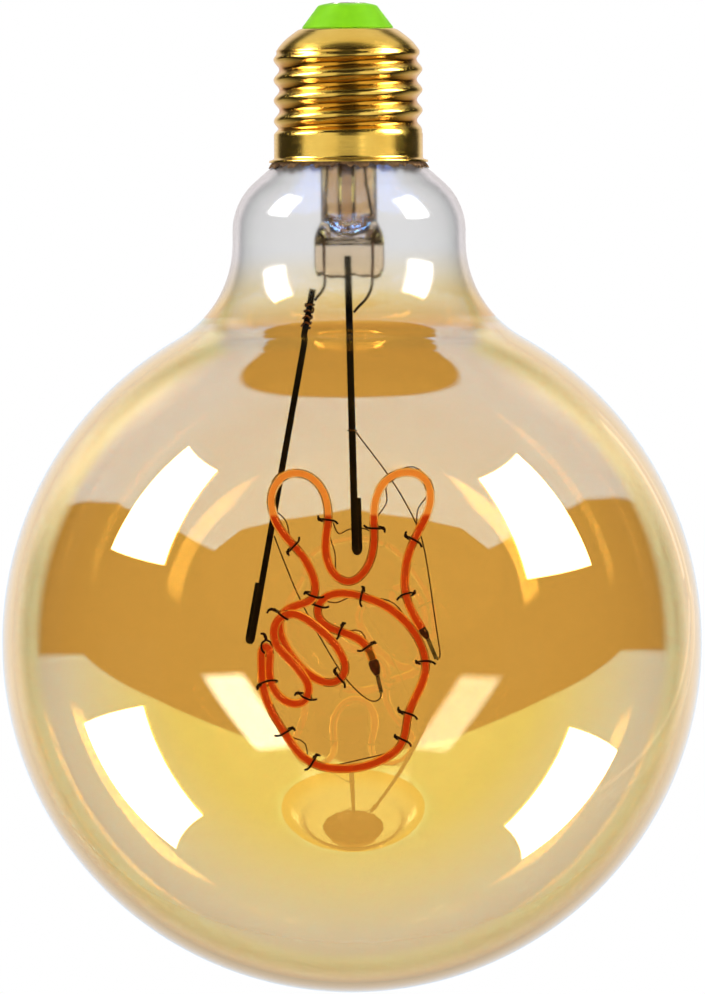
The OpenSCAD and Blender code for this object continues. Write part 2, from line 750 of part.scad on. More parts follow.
glass_globe();
stem_flare();
exhaust_tube();
outer_lead_left();
outer_lead_right();
seal_wire_left();
seal_wire_right();
inner_lead_left();
inner_lead_right();
weld_wrap_left();
centre_rod();
left_rod();
cross_wire();
filament_coating();
filament_strip();
right_end_sleeve();
right_end_tab();
right_feed_wire();
left_end_sleeve();
left_end_tab();
left_feed_wire();
finger_frame_wire();
ring_frame_wire();
palm_frame_wire();
tie_wires();
screw_shell();
cap_insulator();
centre_contact();
cap_cement();
driver_board();
smoothing_capacitor();
inductor();
film_capacitor();
bridge_rectifier();
driver_chip();
fuse_resistor();
live_wire();
neutral_wire();
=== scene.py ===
# The looks of the globe lamp with a hand-shaped filament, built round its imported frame
import math
import bpy
from mathutils import Matrix, Vector


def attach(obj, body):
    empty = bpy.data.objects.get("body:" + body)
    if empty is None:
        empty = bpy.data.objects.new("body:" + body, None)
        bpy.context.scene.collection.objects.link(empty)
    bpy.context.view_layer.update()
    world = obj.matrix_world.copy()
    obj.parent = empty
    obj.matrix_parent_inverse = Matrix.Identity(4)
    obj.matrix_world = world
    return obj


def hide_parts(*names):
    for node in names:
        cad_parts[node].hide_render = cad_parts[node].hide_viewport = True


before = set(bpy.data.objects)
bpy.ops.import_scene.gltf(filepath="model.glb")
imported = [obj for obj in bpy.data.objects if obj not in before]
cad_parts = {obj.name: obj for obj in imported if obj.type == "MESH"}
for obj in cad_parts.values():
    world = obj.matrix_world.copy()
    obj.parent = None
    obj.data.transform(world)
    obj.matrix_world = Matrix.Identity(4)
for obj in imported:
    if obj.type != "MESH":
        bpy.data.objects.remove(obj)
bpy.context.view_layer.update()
print("frame loaded with", len(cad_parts), "nodes")

mm = 0.001
tip = 0.002  # half width in mm of a ring that is merged into a pole
seam = 0.0005  # distance in mm within which the double points of a wire are merged


def clearSelection():
    if bpy.context.mode != "OBJECT":
        bpy.ops.object.mode_set(mode="OBJECT")
    bpy.ops.object.select_all(action="DESELECT")


def activate(piece):
    clearSelection()
    piece.select_set(True)
    bpy.context.view_layer.objects.active = piece


def applyModifier(piece, kind, **settings):
    activate(piece)
    modifier = piece.modifiers.new(kind.title(), kind)
    for key, value in settings.items():
        setattr(modifier, key, value)
    bpy.ops.object.modifier_apply(modifier=modifier.name)


def mergeAndTurnOut(piece, reach=1.5 * tip):
    activate(piece)
    bpy.ops.object.mode_set(mode="EDIT")
    bpy.ops.mesh.select_all(action="SELECT")
    bpy.ops.mesh.remove_doubles(threshold=reach * mm)
    bpy.ops.mesh.normals_make_consistent(inside=False)
    bpy.ops.object.mode_set(mode="OBJECT")


def smooth(piece, degrees=40):
    activate(piece)
    bpy.ops.object.shade_smooth_by_angle(angle=math.radians(degrees))


def standsFor(piece, node):
    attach(piece, "root")
    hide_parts(node)


def arcRows(centre, radius, start, end, steps):
    # part of a circle as (radius from the axis, height) in mm, angles in degrees
    angles = [math.radians(start + (end - start) * i / steps) for i in range(steps + 1)]
    return [(centre[0] + radius * math.cos(a), centre[1] + radius * math.sin(a)) for a in angles]


def ringStack(name, rows, corners, centreX=0.0):
    # a circle extruded ring by ring; a row is (radius, height) or (half width, half depth, height) in mm
    rows = [row if len(row) == 3 else (row[0], row[0], row[1]) for row in rows]
    rows = [(max(row[0], tip), max(row[1], tip), row[2]) for row in rows]
    clearSelection()
    halfWidth, halfDepth, height = rows[0]
    bpy.ops.mesh.primitive_circle_add(
        vertices=corners, radius=halfWidth * mm, location=(centreX * mm, 0, height * mm))
    piece = bpy.context.object
    piece.name = piece.data.name = name
    bpy.ops.object.transform_apply(location=True, rotation=True, scale=True)
    bpy.ops.object.mode_set(mode="EDIT")
    bpy.ops.mesh.select_all(action="SELECT")
    bpy.ops.transform.resize(
        value=(1, halfDepth / halfWidth, 1), center_override=(centreX * mm, 0, height * mm))
    for last, row in zip(rows, rows[1:]):
        bpy.ops.mesh.extrude_edges_move(
            TRANSFORM_OT_translate={"value": (0, 0, (row[2] - last[2]) * mm)})
        bpy.ops.transform.resize(
            value=(row[0] / last[0], row[1] / last[1], 1), center_override=(centreX * mm, 0, row[2] * mm))
    bpy.ops.object.mode_set(mode="OBJECT")
    return piece


def padEnds(points):
    return [2 * points[0] - points[1]] + points + [2 * points[-1] - points[-2]]


def wirePiece(name, routes, diameter, roundness=3, steps=6, curved=True):
    # round wire along one or more routes of points in mm; a smooth curve only passes near its points
    clearSelection()
    bpy.ops.curve.primitive_nurbs_path_add()
    piece = bpy.context.object
    piece.name = name
    splines = piece.data.splines
    splines.remove(splines[0])
    for route in routes:
        points = padEnds([Vector(point) for point in route]) if curved else route
        spline = splines.new("NURBS" if curved else "POLY")
        spline.points.add(len(points) - 1)
        for point, place in zip(spline.points, points):
            point.co = (place[0] * mm, place[1] * mm, place[2] * mm, 1)
        if curved:
            spline.order_u = 4
            spline.use_endpoint_u = False
            spline.resolution_u = steps
    piece.data.dimensions = "3D"
    piece.data.bevel_depth = diameter / 2 * mm
    piece.data.bevel_resolution = roundness
    piece.data.use_fill_caps = diameter > 0
    bpy.ops.object.convert(target="MESH")
    piece = bpy.context.object
    piece.data.name = name
    bpy.ops.object.transform_apply(location=True, rotation=True, scale=True)
    if diameter > 0:
        mergeAndTurnOut(piece, seam)
        smooth(piece, 50)
    return piece


def linear(hexText):
    # sRGB hex to the linear colour that the sockets take
    parts = [int(hexText[i:i + 2], 16) / 255 for i in (0, 2, 4)]
    return [p / 12.92 if p <= 0.04045 else ((p + 0.055) / 1.055) ** 2.4 for p in parts] + [1.0]


def link(tree, source, socket):
    # a node stands for its first output
    tree.links.new(source.outputs[0] if isinstance(source, bpy.types.Node) else source, socket)


def addNode(tree, kind, settings=(), links=()):
    new = tree.nodes.new("ShaderNode" + kind)
    for key, value in dict(settings).items():
        if isinstance(key, int) or key in new.inputs:
            new.inputs[key].default_value = value
        else:
            setattr(new, key, value)
    for key, source in dict(links).items():
        link(tree, source, new.inputs[key])
    return new


def newFinish(name, **sockets):
    # a Principled material with its uniform values set on its own sockets
    finish = bpy.data.materials.new(name)
    finish.use_nodes = True
    shader = finish.node_tree.nodes["Principled BSDF"]
    for key, value in sockets.items():
        shader.inputs[key.replace("_", " ")].default_value = value
    place = addNode(finish.node_tree, "TexCoord")
    return finish, finish.node_tree, shader, place.outputs["Object"]


def perMm(size):
    return 1 / (size * mm)


def overlap(tree, *masks):
    # where every mask is: their product
    whole = masks[0]
    for mask in masks[1:]:
        whole = addNode(tree, "Math", {"operation": "MULTIPLY"}, {0: whole, 1: mask})
    return whole


def patternSurface(tree, shader, pattern, rough, within=(0.0, 1.0), bumpMm=0.0, strength=1.0):
    # a pattern sets the roughness and, where a height is given, raises the surface
    level = addNode(
        tree, "MapRange",
        {"From Min": within[0], "From Max": within[1], "To Min": rough[0], "To Max": rough[1]},
        {"Value": pattern})
    link(tree, level, shader.inputs["Roughness"])
    if bumpMm:
        bump = addNode(tree, "Bump", {"Strength": strength, "Distance": bumpMm * mm}, {"Height": pattern})
        link(tree, bump, shader.inputs["Normal"])


def wear(name, darkHex, lightHex, patternMm, roughFrom, roughTo, bumpMm=0.0, stretch=(1, 1, 1), **sockets):
    # mottled finish: noise of a real size sets the colour, the roughness and a little bump
    finish, tree, shader, place = newFinish(name, **sockets)
    scaled = addNode(tree, "Mapping", {"Scale": stretch}, {"Vector": place})
    noise = addNode(
        tree, "TexNoise", {"Scale": perMm(patternMm), "Detail": 4, "Roughness": 0.6}, {"Vector": scaled})
    ramp = addNode(tree, "ValToRGB", {}, {"Fac": noise})
    for stop, position, colour in zip(ramp.color_ramp.elements, (0.32, 0.68), (darkHex, lightHex)):
        stop.position = position
        stop.color = linear(colour)
    link(tree, ramp, shader.inputs["Base Color"])
    patternSurface(tree, shader, noise, (roughFrom, roughTo), (0.3, 0.7), bumpMm, 0.6)
    return finish


def dress(piece, *finishes):
    piece.data.materials.clear()
    for finish in finishes:
        piece.data.materials.append(finish)


# Camera: level with the middle of the lamp, as far away as a product photographer stands
view = {
    "distance": 4.0, "sideways": 0.27 * mm, "height": -87.68 * mm, "frameHeight": 176.08 * mm, "roll": 0.41,
    "sensor": 36, "clipStart": 0.01}
clearSelection()
bpy.ops.object.camera_add(location=(view["sideways"], -view["distance"], view["height"]))
camera = bpy.context.object
camera.name = "photoCamera"
camera.rotation_euler = (math.radians(90), math.radians(view["roll"]), 0)
camera.data.sensor_width = view["sensor"]
camera.data.lens = view["sensor"] * view["distance"] / view["frameHeight"]
camera.data.clip_start = view["clipStart"]
bpy.context.scene.camera = camera
print("camera placed")


# Studio: white all round for the camera, for what is seen through glass and for plain light on the lamp.
# What polished surfaces mirror is dark, with a white backdrop behind the lamp and bright windows beside it.
# The globe's far wall is seen through its amber near wall, so what it mirrors is brighter and bluer.
studio = {
    "lightLevel": 0.92, "gapLevel": 0.02,
    # how far backwards a direction points where the backdrop starts and is full, 1 being straight back, and
    # where smooth glass mirrors it dimmer, low down
    "backdropFrom": 0.70, "backdropFull": 0.85, "dimBelow": -0.42, "plainAbove": -0.05, "dimLevel": 0.62,
    "nearBackdrop": (0.92, 0.86, 0.86), "glassBackdrop": (0.86, 1.02, 1.2), "farBackdrop": (2.4, 9.0, 42.0),
    # the floor that leads up to the backdrop
    "floorFrom": 0.1, "floorFull": 0.85, "floorLevel": 0.75, "floorDip": -0.3,
    # a window is azimuth, half width, height, half height and strength, in degrees but for the strength, and
    # for some also a slant in degrees of azimuth per degree of height and a soft edge in degrees; azimuth 0
    # is towards the camera, and only smooth glass mirrors the glass windows
    "nearWindows": [(-82, 13, 36, 14.5, 1.0), (77, 14.5, 33, 15.5, 1.0)],
    "glassWindows": [(-91, 15, -32, 16, 1.0), (96.5, 14, -36, 14.5, 1.0), (-140, 8, 30, 15, 0.2, 0, 12),
                     (140, 8, 31, 15, 0.17, 0, 12), (150, 1.2, 14, 9, 0.15), (155, 1.2, 12, 9, 0.1),
                     (131, 1, -14, 17, 0.12, 1.2), (136, 1.2, -14, 17, 0.06, 1.2),
                     (141, 1, -12, 15, 0.08, 1.2)],
    "farWindows": [(39, 7.5, 23, 12.5, 1.0, -0.56, 3), (-39, 7.5, 24, 12.5, 0.7, 0.56, 3),
                   (20, 4, 47, 3.5, 0.3, 0, 3), (-21, 6, 47, 3.5, 0.25, 0, 3),
                   (84, 14, 8, 9, 0.06), (-62, 9, 7, 7, 0.05), (128, 7, 0, 34, 0.08), (-131, 6, 4, 30, 0.08)],
    "nearWindowLight": (24.0, 24.0, 24.0), "insideWindowLight": (24.0, 24.0, 24.0),
    "farWindowLight": (4.4, 13.0, 80.0), "insideLight": (0.6, 0.6, 0.62),
    # azimuth and height of the lower edge of the sky, and azimuth and depth of the ground's upper edge
    "skyEdge": [(0, 43), (39, 32.5), (75, 15.3), (107, 2), (180, 0)],
    "groundEdge": [(0, 46.7), (30, 41.5), (46, 36.5), (54, 28.5), (72, 31.8), (96, 31.5), (112, 29.5),
                   (130, 23), (180, 0)],
    "edgeBlur": 0.5,
    # what the far wall mirrors from above and below, in front of the lamp and behind it; neckSky is what the
    # slightly rough neck shows of the sky
    "skyFront": (1.9, 5.0, 9.0), "skyBack": (1.2, 5.6, 40.0), "skyBlend": (-0.35, 0.6),
    "groundFront": (1.15, 4.8, 41.0), "groundBack": (1.7, 6.9, 58.0), "groundBlend": (0.0, 0.7),
    "neckSky": (2.3, 3.1, 2.2),
    "stemShadow": {"towards": (0, 0.407, -0.914), "halfAngle": 20.5, "blur": 0.8},
    "floorRadius": 0.9, "floorHeight": -0.255, "floorLift": 0.35}


def paintWorld():
    world = bpy.data.worlds.new("studioTent")
    bpy.context.scene.world = world
    world.use_nodes = True
    tree = world.node_tree
    background = tree.nodes["Background"]
    rays = addNode(tree, "LightPath")
    direction = addNode(tree, "TexCoord").outputs["Generated"]
    axes = addNode(tree, "SeparateXYZ", {}, {0: direction})
    forwards = addNode(tree, "Math", {"operation": "MULTIPLY", 1: -1.0}, {0: axes.outputs["Y"]})
    azimuth = addNode(tree, "Math", {"operation": "ARCTAN2"}, {0: axes.outputs["X"], 1: forwards})
    turn = addNode(tree, "Math", {"operation": "DEGREES"}, {0: azimuth})
    side = addNode(tree, "Math", {"operation": "ABSOLUTE"}, {0: turn})
    rise = addNode(tree, "Math", {"operation": "ARCSINE"}, {0: axes.outputs["Z"]})
    height = addNode(tree, "Math", {"operation": "DEGREES"}, {0: rise})
    depth = addNode(tree, "Math", {"operation": "MULTIPLY", 1: -1.0}, {0: height})

    def past(edge, heightAbove):
        # 1 where the direction is higher, or lower, than an edge that is drawn by azimuth
        part = addNode(tree, "Math", {"operation": "DIVIDE", 1: 180.0}, {0: side})
        line = addNode(tree, "FloatCurve", {}, {"Value": part})
        curve = line.mapping.curves[0]
        for i, (angle, rising) in enumerate(edge):
            spot = (angle / 180, rising / 90)
            if i in (0, len(edge) - 1):
                curve.points[0 if i == 0 else -1].location = spot
            else:
                curve.points.new(*spot)
        for point in curve.points:
            point.handle_type = "VECTOR"
        line.mapping.update()
        beyond = addNode(tree, "Math", {"operation": "MULTIPLY_ADD", 1: -90.0}, {0: line, 2: heightAbove})
        return addNode(
            tree, "MapRange", {"From Min": -studio["edgeBlur"], "From Max": studio["edgeBlur"]},
            {"Value": beyond})

    def window(centre, halfWidth, middle, halfHeight, strength, slant=0.0, soft=0.4):
        fromMiddle = addNode(tree, "Math", {"operation": "SUBTRACT", 1: float(middle)}, {0: height})
        fromCentre = addNode(tree, "Math", {"operation": "SUBTRACT", 1: float(centre)}, {0: turn})
        leant = addNode(
            tree, "Math", {"operation": "MULTIPLY_ADD", 1: -float(slant)}, {0: fromMiddle, 2: fromCentre})
        masks = []
        for away, half in ((leant, halfWidth), (fromMiddle, halfHeight)):
            distance = addNode(tree, "Math", {"operation": "ABSOLUTE"}, {0: away})
            masks.append(addNode(
                tree, "MapRange",
                {"From Min": float(half + soft / 2), "From Max": float(half - soft / 2), "To Max": strength},
                {"Value": distance}))
        return overlap(tree, *masks)

    def lit(parts):
        # what is mirrored: the dark room with the light of each part added where all its masks are
        room = addNode(tree, "CombineXYZ", {i: studio["gapLevel"] for i in range(3)})
        for *masks, light in parts:
            room = addNode(
                tree, "VectorMath", {"operation": "MULTIPLY_ADD", 1: light},
                {0: overlap(tree, *masks), 2: room})
        return room

    # the white backdrop behind the lamp, and the floor that leads up to it
    backdrop = addNode(
        tree, "MapRange",
        {"interpolation_type": "SMOOTHSTEP", "From Min": studio["backdropFrom"],
         "From Max": studio["backdropFull"]}, {"Value": axes.outputs["Y"]})
    floorReach = addNode(
        tree, "MapRange",
        {"interpolation_type": "SMOOTHSTEP", "From Min": studio["floorFrom"], "From Max": studio["floorFull"],
         "To Max": studio["floorLevel"]}, {"Value": axes.outputs["Y"]})
    downwards = addNode(
        tree, "MapRange", {"From Min": 0.0, "From Max": studio["floorDip"]}, {"Value": axes.outputs["Z"]})
    behind = addNode(
        tree, "Math", {"operation": "MAXIMUM"}, {0: backdrop, 1: overlap(tree, floorReach, downwards)})
    dimming = addNode(
        tree, "MapRange",
        {"From Min": studio["dimBelow"], "From Max": studio["plainAbove"], "To Min": studio["dimLevel"]},
        {"Value": axes.outputs["Z"]})

    # the shadow of the stem on what the far wall mirrors from below
    shadow = studio["stemShadow"]
    towards = addNode(
        tree, "VectorMath", {"operation": "DOT_PRODUCT", 1: Vector(shadow["towards"]).normalized()},
        {0: direction})
    inner, outer = [math.cos(math.radians(shadow["halfAngle"] + way * shadow["blur"])) for way in (-1, 1)]
    unshaded = addNode(
        tree, "MapRange", {"From Min": inner, "From Max": outer}, {"Value": towards.outputs["Value"]})

    # sky and ground leave out the backdrop
    aside = addNode(tree, "Math", {"operation": "SUBTRACT", 0: 1.0}, {1: backdrop})
    sky = overlap(tree, past(studio["skyEdge"], height), aside)
    ground = overlap(tree, past(studio["groundEdge"], depth), unshaded, aside)

    # a singular ray has only met smooth surfaces: the blown globe, not the brass or the drawn neck
    smoothOnly = rays.outputs["Is Singular Ray"]
    roughOnly = addNode(tree, "Math", {"operation": "SUBTRACT", 0: 1.0}, {1: smoothOnly})
    nearParts = [(behind, roughOnly, studio["nearBackdrop"]),
                 (backdrop, dimming, smoothOnly, studio["glassBackdrop"])]
    nearParts += [(window(*span), studio["nearWindowLight"]) for span in studio["nearWindows"]]
    nearParts += [(window(*span), smoothOnly, studio["nearWindowLight"]) for span in studio["glassWindows"]]
    farParts = [(backdrop, smoothOnly, studio["farBackdrop"]), (sky, roughOnly, studio["neckSky"])]
    for mask, name in ((sky, "sky"), (ground, "ground")):
        low, high = studio[name + "Blend"]
        for end, first, last in (("Front", high, low), ("Back", low, high)):
            share = addNode(
                tree, "MapRange", {"From Min": first, "From Max": last}, {"Value": axes.outputs["Y"]})
            farParts.append((mask, smoothOnly, share, studio[name + end]))
    insideParts = [(mask, studio["insideLight"]) for mask in (sky, ground, backdrop)]
    for span in studio["farWindows"]:
        mask = window(*span)
        farParts.append((mask, smoothOnly, studio["farWindowLight"]))
        insideParts.append((mask, studio["insideWindowLight"]))

    # rays that mirrored once, off the outside of the far wall, have crossed six surfaces of glass, and those
    # that mirrored off a wire or the stem inside the globe have crossed four
    once = addNode(tree, "Math", {"operation": "LESS_THAN", 1: 1.5}, {0: rays.outputs["Glossy Depth"]})
    inside, outside = [addNode(
        tree, "Math", {"operation": "GREATER_THAN", 1: crossings},
        {0: rays.outputs["Transmission Depth"]}) for crossings in (2.5, 5.5)]
    beyond = addNode(
        tree, "Mix", {"data_type": "RGBA"},
        {0: overlap(tree, outside, once), 6: lit(insideParts), 7: lit(farParts)})
    mirrored = addNode(
        tree, "Mix", {"data_type": "RGBA"}, {0: inside, 6: lit(nearParts), 7: beyond.outputs[2]})
    plain = addNode(
        tree, "MapRange", {"To Min": 1.0, "To Max": studio["lightLevel"]},
        {"Value": rays.outputs["Is Diffuse Ray"]})
    hasMirrored = addNode(
        tree, "Math", {"operation": "GREATER_THAN", 1: 0.5}, {0: rays.outputs["Glossy Depth"]})
    seen = addNode(tree, "Mix", {"data_type": "RGBA"}, {0: hasMirrored, 6: plain, 7: mirrored.outputs[2]})
    link(tree, seen.outputs[2], background.inputs["Color"])
    background.inputs["Strength"].default_value = 1.0


def layFloor():
    clearSelection()
    bpy.ops.mesh.primitive_circle_add(
        vertices=96, radius=studio["floorRadius"], fill_type="NGON", location=(0, 0, studio["floorHeight"]))
    floor = bpy.context.object
    floor.name = "studioFloor"
    finish = bpy.data.materials.new("paleFloor")
    finish.use_nodes = True
    tree = finish.node_tree
    shader = tree.nodes["Principled BSDF"]
    shader.inputs["Base Color"].default_value = linear("d9d8d6")
    shader.inputs["Roughness"].default_value = 0.9
    rays = addNode(tree, "LightPath")
    direct = addNode(
        tree, "Math", {"operation": "MAXIMUM"},
        {0: rays.outputs["Is Camera Ray"], 1: rays.outputs["Is Transmission Ray"]})
    lift = addNode(tree, "Math", {"operation": "MULTIPLY", 1: studio["floorLift"]}, {0: direct})
    shader.inputs["Emission Color"].default_value = (1, 1, 1, 1)
    link(tree, lift, shader.inputs["Emission Strength"])
    # the floor isn't mirrored: rays that have mirrored pass through it to the world
    hasMirrored = addNode(
        tree, "Math", {"operation": "GREATER_THAN", 1: 0.5}, {0: rays.outputs["Glossy Depth"]})
    passing = addNode(tree, "BsdfTransparent")
    shown = addNode(tree, "MixShader", {}, {0: hasMirrored, 1: shader, 2: passing})
    link(tree, shown, tree.nodes["Material Output"].inputs["Surface"])
    dress(floor, finish)
    floor.visible_glossy = False


# Two tall panels in front, one overhead and a low one straight ahead, only for the cap's metal and plastic
capLights = {
    # turn about the lamp, tilt from level, distance, width, height, strength
    "panels": [(-46, 0, 0.42, 0.46, 0.66, 1.0), (46, 0, 0.42, 0.46, 0.66, 1.0),
               (180, 76, 0.40, 0.70, 0.34, 0.9), (3, 0, 0.42, 0.32, 0.08, 0.8)],
    "middle": -0.02}


def hangCapLights(capPieces):
    group = bpy.data.collections.new("capPieces")
    for piece in capPieces:
        group.objects.link(piece)
    for turn, tilt, distance, width, tall, level in capLights["panels"]:
        a, t = math.radians(turn), math.radians(tilt)
        clearSelection()
        reach, rise = distance * math.cos(t), distance * math.sin(t)
        bpy.ops.object.light_add(
            type="AREA", location=(reach * math.sin(a), -reach * math.cos(a), capLights["middle"] + rise))
        lamp = bpy.context.object
        lamp.name = "capPanel"
        lamp.rotation_euler = (math.radians(90) - t, 0, a)
        lamp.data.shape = "RECTANGLE"
        lamp.data.size = width
        lamp.data.size_y = tall
        lamp.data.energy = level * math.pi * width * tall
        lamp.light_linking.receiver_collection = group


paintWorld()
layFloor()
print("studio set")


# Glass globe: blown soda-lime glass, 0.9 mm thick, with an amber lustre film that fades out at the neck
globe = {
    "diameter": 124, "overall": 175.4, "neck": 41.3, "sealDiameter": 23.2, "sealTop": -19.5,
    "footRadius": 3, "shoulderRadius": 11.7, "shoulderAngle": 49, "neckHeight": -40.6, "blendRadius": 19.5,
    "wall": 0.9, "corners": 192, "footSteps": 8, "shoulderSteps": 16, "blendSteps": 22, "ballSteps": 84,
    "filmNm": 112.0, "filmIor": 2.0, "filmBelow": -58.5, "filmEdge": 2,
    # height and colour of the tint, from the clear neck down to the full amber
    "tints": [(-44, "efeeef"), (-49, "f2e4c4"), (-53, "ecca78"), (-56, "e0b055"), (-58.5, "ffb348")],
    # the tint's edge wanders by this much over patches of this size
    "drift": 6, "driftSize": 60, "drawnRoughness": 0.13, "drawnAbove": -50, "smoothBelow": -56}


def amberLustreGlass():
    # lustred glass: the film lets amber through and mirrors a cool white
    finish, tree, shader, place = newFinish(
        "amberLustreGlass", IOR=1.5, Transmission_Weight=1.0, Thin_Film_IOR=globe["filmIor"])
    axes = addNode(tree, "SeparateXYZ", {}, {0: place})
    drift = addNode(tree, "TexNoise", {"Scale": perMm(globe["driftSize"]), "Detail": 1}, {"Vector": place})
    uneven = addNode(
        tree, "Math", {"operation": "MULTIPLY_ADD", 1: globe["drift"] * mm}, {0: drift, 2: axes.outputs["Z"]})
    high, low = globe["tints"][0][0], globe["tints"][-1][0]
    lift = globe["drift"] / 2
    amount = addNode(
        tree, "MapRange", {"From Min": (high + lift) * mm, "From Max": (low + lift) * mm}, {"Value": uneven})
    tint = addNode(tree, "ValToRGB", {}, {"Fac": amount})
    stops = tint.color_ramp.elements
    for i, (height, colour) in enumerate(globe["tints"]):
        spot = (height - high) / (low - high)
        stop = stops[0] if i == 0 else stops[-1] if spot == 1 else stops.new(spot)
        stop.color = linear(colour)
    link(tree, tint, shader.inputs["Base Color"])
    # the neck was drawn, so it is a little less smooth than the blown globe
    rough = addNode(
        tree, "MapRange",
        {"From Min": globe["smoothBelow"] * mm, "From Max": globe["drawnAbove"] * mm,
         "To Max": globe["drawnRoughness"]}, {"Value": axes.outputs["Z"]})
    link(tree, rough, shader.inputs["Roughness"])
    film = addNode(
        tree, "MapRange",
        {"From Min": (globe["filmBelow"] + globe["filmEdge"]) * mm, "From Max": globe["filmBelow"] * mm,
         "To Max": globe["filmNm"]},
        {"Value": axes.outputs["Z"]})
    link(tree, film, shader.inputs["Thin Film Thickness"])
    return finish


def clearGlass(name, tintHex="fbfcfb", rippleMm=0.0, rippleSize=3):
    # clear glass, colourless or faintly tinted, with a faint ripple where it was drawn
    finish, tree, shader, place = newFinish(name, Roughness=0.0, IOR=1.52, Transmission_Weight=1.0)
    noise = addNode(tree, "TexNoise", {"Scale": perMm(rippleSize), "Detail": 2}, {"Vector": place})
    tint = addNode(tree, "Mix", {"data_type": "RGBA", 6: linear(tintHex), 7: linear("ffffff")}, {0: noise})
    link(tree, tint.outputs[2], shader.inputs["Base Color"])
    if rippleMm:
        bump = addNode(tree, "Bump", {"Strength": 1.0, "Distance": rippleMm * mm}, {"Height": noise})
        link(tree, bump, shader.inputs["Normal"])
    return finish


def blowGlobe():
    radius = globe["diameter"] / 2
    centre = radius - globe["overall"]
    neckRadius = globe["neck"] / 2
    blendX = neckRadius + globe["blendRadius"]
    blendZ = centre + math.sqrt((radius + globe["blendRadius"]) ** 2 - blendX ** 2)
    blendAngle = math.degrees(math.atan2(blendZ - centre, blendX))
    shoulderX = neckRadius - globe["shoulderRadius"]
    footX = globe["sealDiameter"] / 2 + globe["footRadius"]
    slope = math.radians(globe["shoulderAngle"])
    reach = globe["shoulderRadius"] + globe["footRadius"]
    footZ = globe["neckHeight"] + (reach - (footX - shoulderX) * math.cos(slope)) / math.sin(slope)
    rows = [(globe["sealDiameter"] / 2, globe["sealTop"])]
    rows += arcRows(
        (footX, footZ), globe["footRadius"], 180, 180 + globe["shoulderAngle"], globe["footSteps"])
    rows += arcRows(
        (shoulderX, globe["neckHeight"]), globe["shoulderRadius"], globe["shoulderAngle"], 0,
        globe["shoulderSteps"])
    rows += arcRows((blendX, blendZ), globe["blendRadius"], 180, 180 + blendAngle, globe["blendSteps"])
    rows += arcRows((0, centre), radius, blendAngle, -90, globe["ballSteps"])[1:]
    piece = ringStack("glassGlobe", rows, globe["corners"])
    mergeAndTurnOut(piece)
    # the lustre film is on the outside, and Solidify gives the inside the second finish
    dress(piece, amberLustreGlass(), clearGlass("blownGlassInside"))
    applyModifier(
        piece, "SOLIDIFY", thickness=globe["wall"] * mm, offset=-1, use_even_offset=True,
        material_offset=1, material_offset_rim=1)
    smooth(piece, 60)
    return piece


glassGlobe = blowGlobe()
standsFor(glassGlobe, "glass_globe")
print("globe blown")


# Screw shell: thin brass sheet rolled to a round thread, with a plain skirt and a small flared rim
shell = {
    "crest": 26.4, "root": 24.4, "pitch": 3.629, "sheet": 0.35, "rim": 28.2, "lip": -4.72,
    "threadTop": -8.6, "threadEnd": -23.4, "mouth": -28.4, "crestHeight": -17.4, "fade": 1.4,
    # the rolled edge round the insulator as radius and height above the lip, then the round shoulder
    "topEdge": [(7.7, -0.1), (7.95, -0.01), (8.25, 0)],
    "shoulder": 8.8, "shoulderDrop": 0.18, "shoulderBulge": 0.45, "shoulderSteps": 17,
    # drops below the thread's end, then the flare as steps outwards from the skirt and up from its start
    "skirtDrops": (0.6, 2.2), "flareHeight": 0.75, "flareStart": [(0, 0.3), (0.02, 0), (0.25, -0.22)],
    "flareEnd": [(-0.08, -0.36), (0, -0.52)], "corners": 144, "rowsPerTurn": 22,
    # painted shade darkens the brass down in the thread, and painted light brightens the crests and the
    # collar above it
    "paintedShadeRadius": 12.0, "paintedLightRadius": 12.9, "paintedShadeBelow": -9.2, "paintedLightAbove": -8.2,
    "markSize": 0.35, "markStretch": (0.12, 0.12, 1), "blotchSize": 5}


def rollShell():
    mean = (shell["crest"] + shell["root"]) / 4
    skirt = shell["crest"] / 2
    start, drop = shell["shoulder"], shell["shoulderDrop"]
    rows = [(radius, shell["lip"] + rise) for radius, rise in shell["topEdge"]]
    for i in range(shell["shoulderSteps"]):
        t = i / shell["shoulderSteps"]
        rows.append((start + (mean - start) * t + shell["shoulderBulge"] * math.sin(math.pi * t),
                     shell["lip"] - drop + (shell["threadTop"] - shell["lip"] + drop) * t))
    count = round((shell["threadTop"] - shell["threadEnd"]) / shell["pitch"] * shell["rowsPerTurn"])
    for i in range(count + 1):
        z = shell["threadTop"] + (shell["threadEnd"] - shell["threadTop"]) * i / count
        settle = max(0.0, min(1.0, shell["threadEnd"] + 1 - z))
        rows.append((mean + (skirt - mean) * settle, z))
    flareTop = shell["mouth"] + shell["flareHeight"]
    rows += [(skirt, shell["threadEnd"] - down) for down in shell["skirtDrops"]]
    rows += [(skirt + out, flareTop + rise) for out, rise in shell["flareStart"]]
    rows += [(shell["rim"] / 2 + out, flareTop + rise) for out, rise in shell["flareEnd"]]
    rows.append((shell["rim"] / 2, shell["mouth"]))
    piece = ringStack("screwShell", rows, shell["corners"])
    mergeAndTurnOut(piece)
    for vertex in piece.data.vertices:
        x, y, z = vertex.co / mm
        fade = min(1.0, (shell["threadTop"] - z) / shell["fade"], (z - shell["threadEnd"]) / shell["fade"])
        if fade > 0:
            angle = math.atan2(y, x)
            fade = fade * fade * (3 - 2 * fade)
            swing = (shell["crest"] - shell["root"]) / 4 * fade
            wave = math.cos(2 * math.pi * (z - shell["crestHeight"]) / shell["pitch"] - angle + math.pi)
            radius = math.hypot(x, y)
            scale = (radius + swing * wave) / radius
            vertex.co.x *= scale
            vertex.co.y *= scale
    applyModifier(piece, "SOLIDIFY", thickness=shell["sheet"] * mm, offset=-1, use_even_offset=True)
    smooth(piece, 50)
    return piece


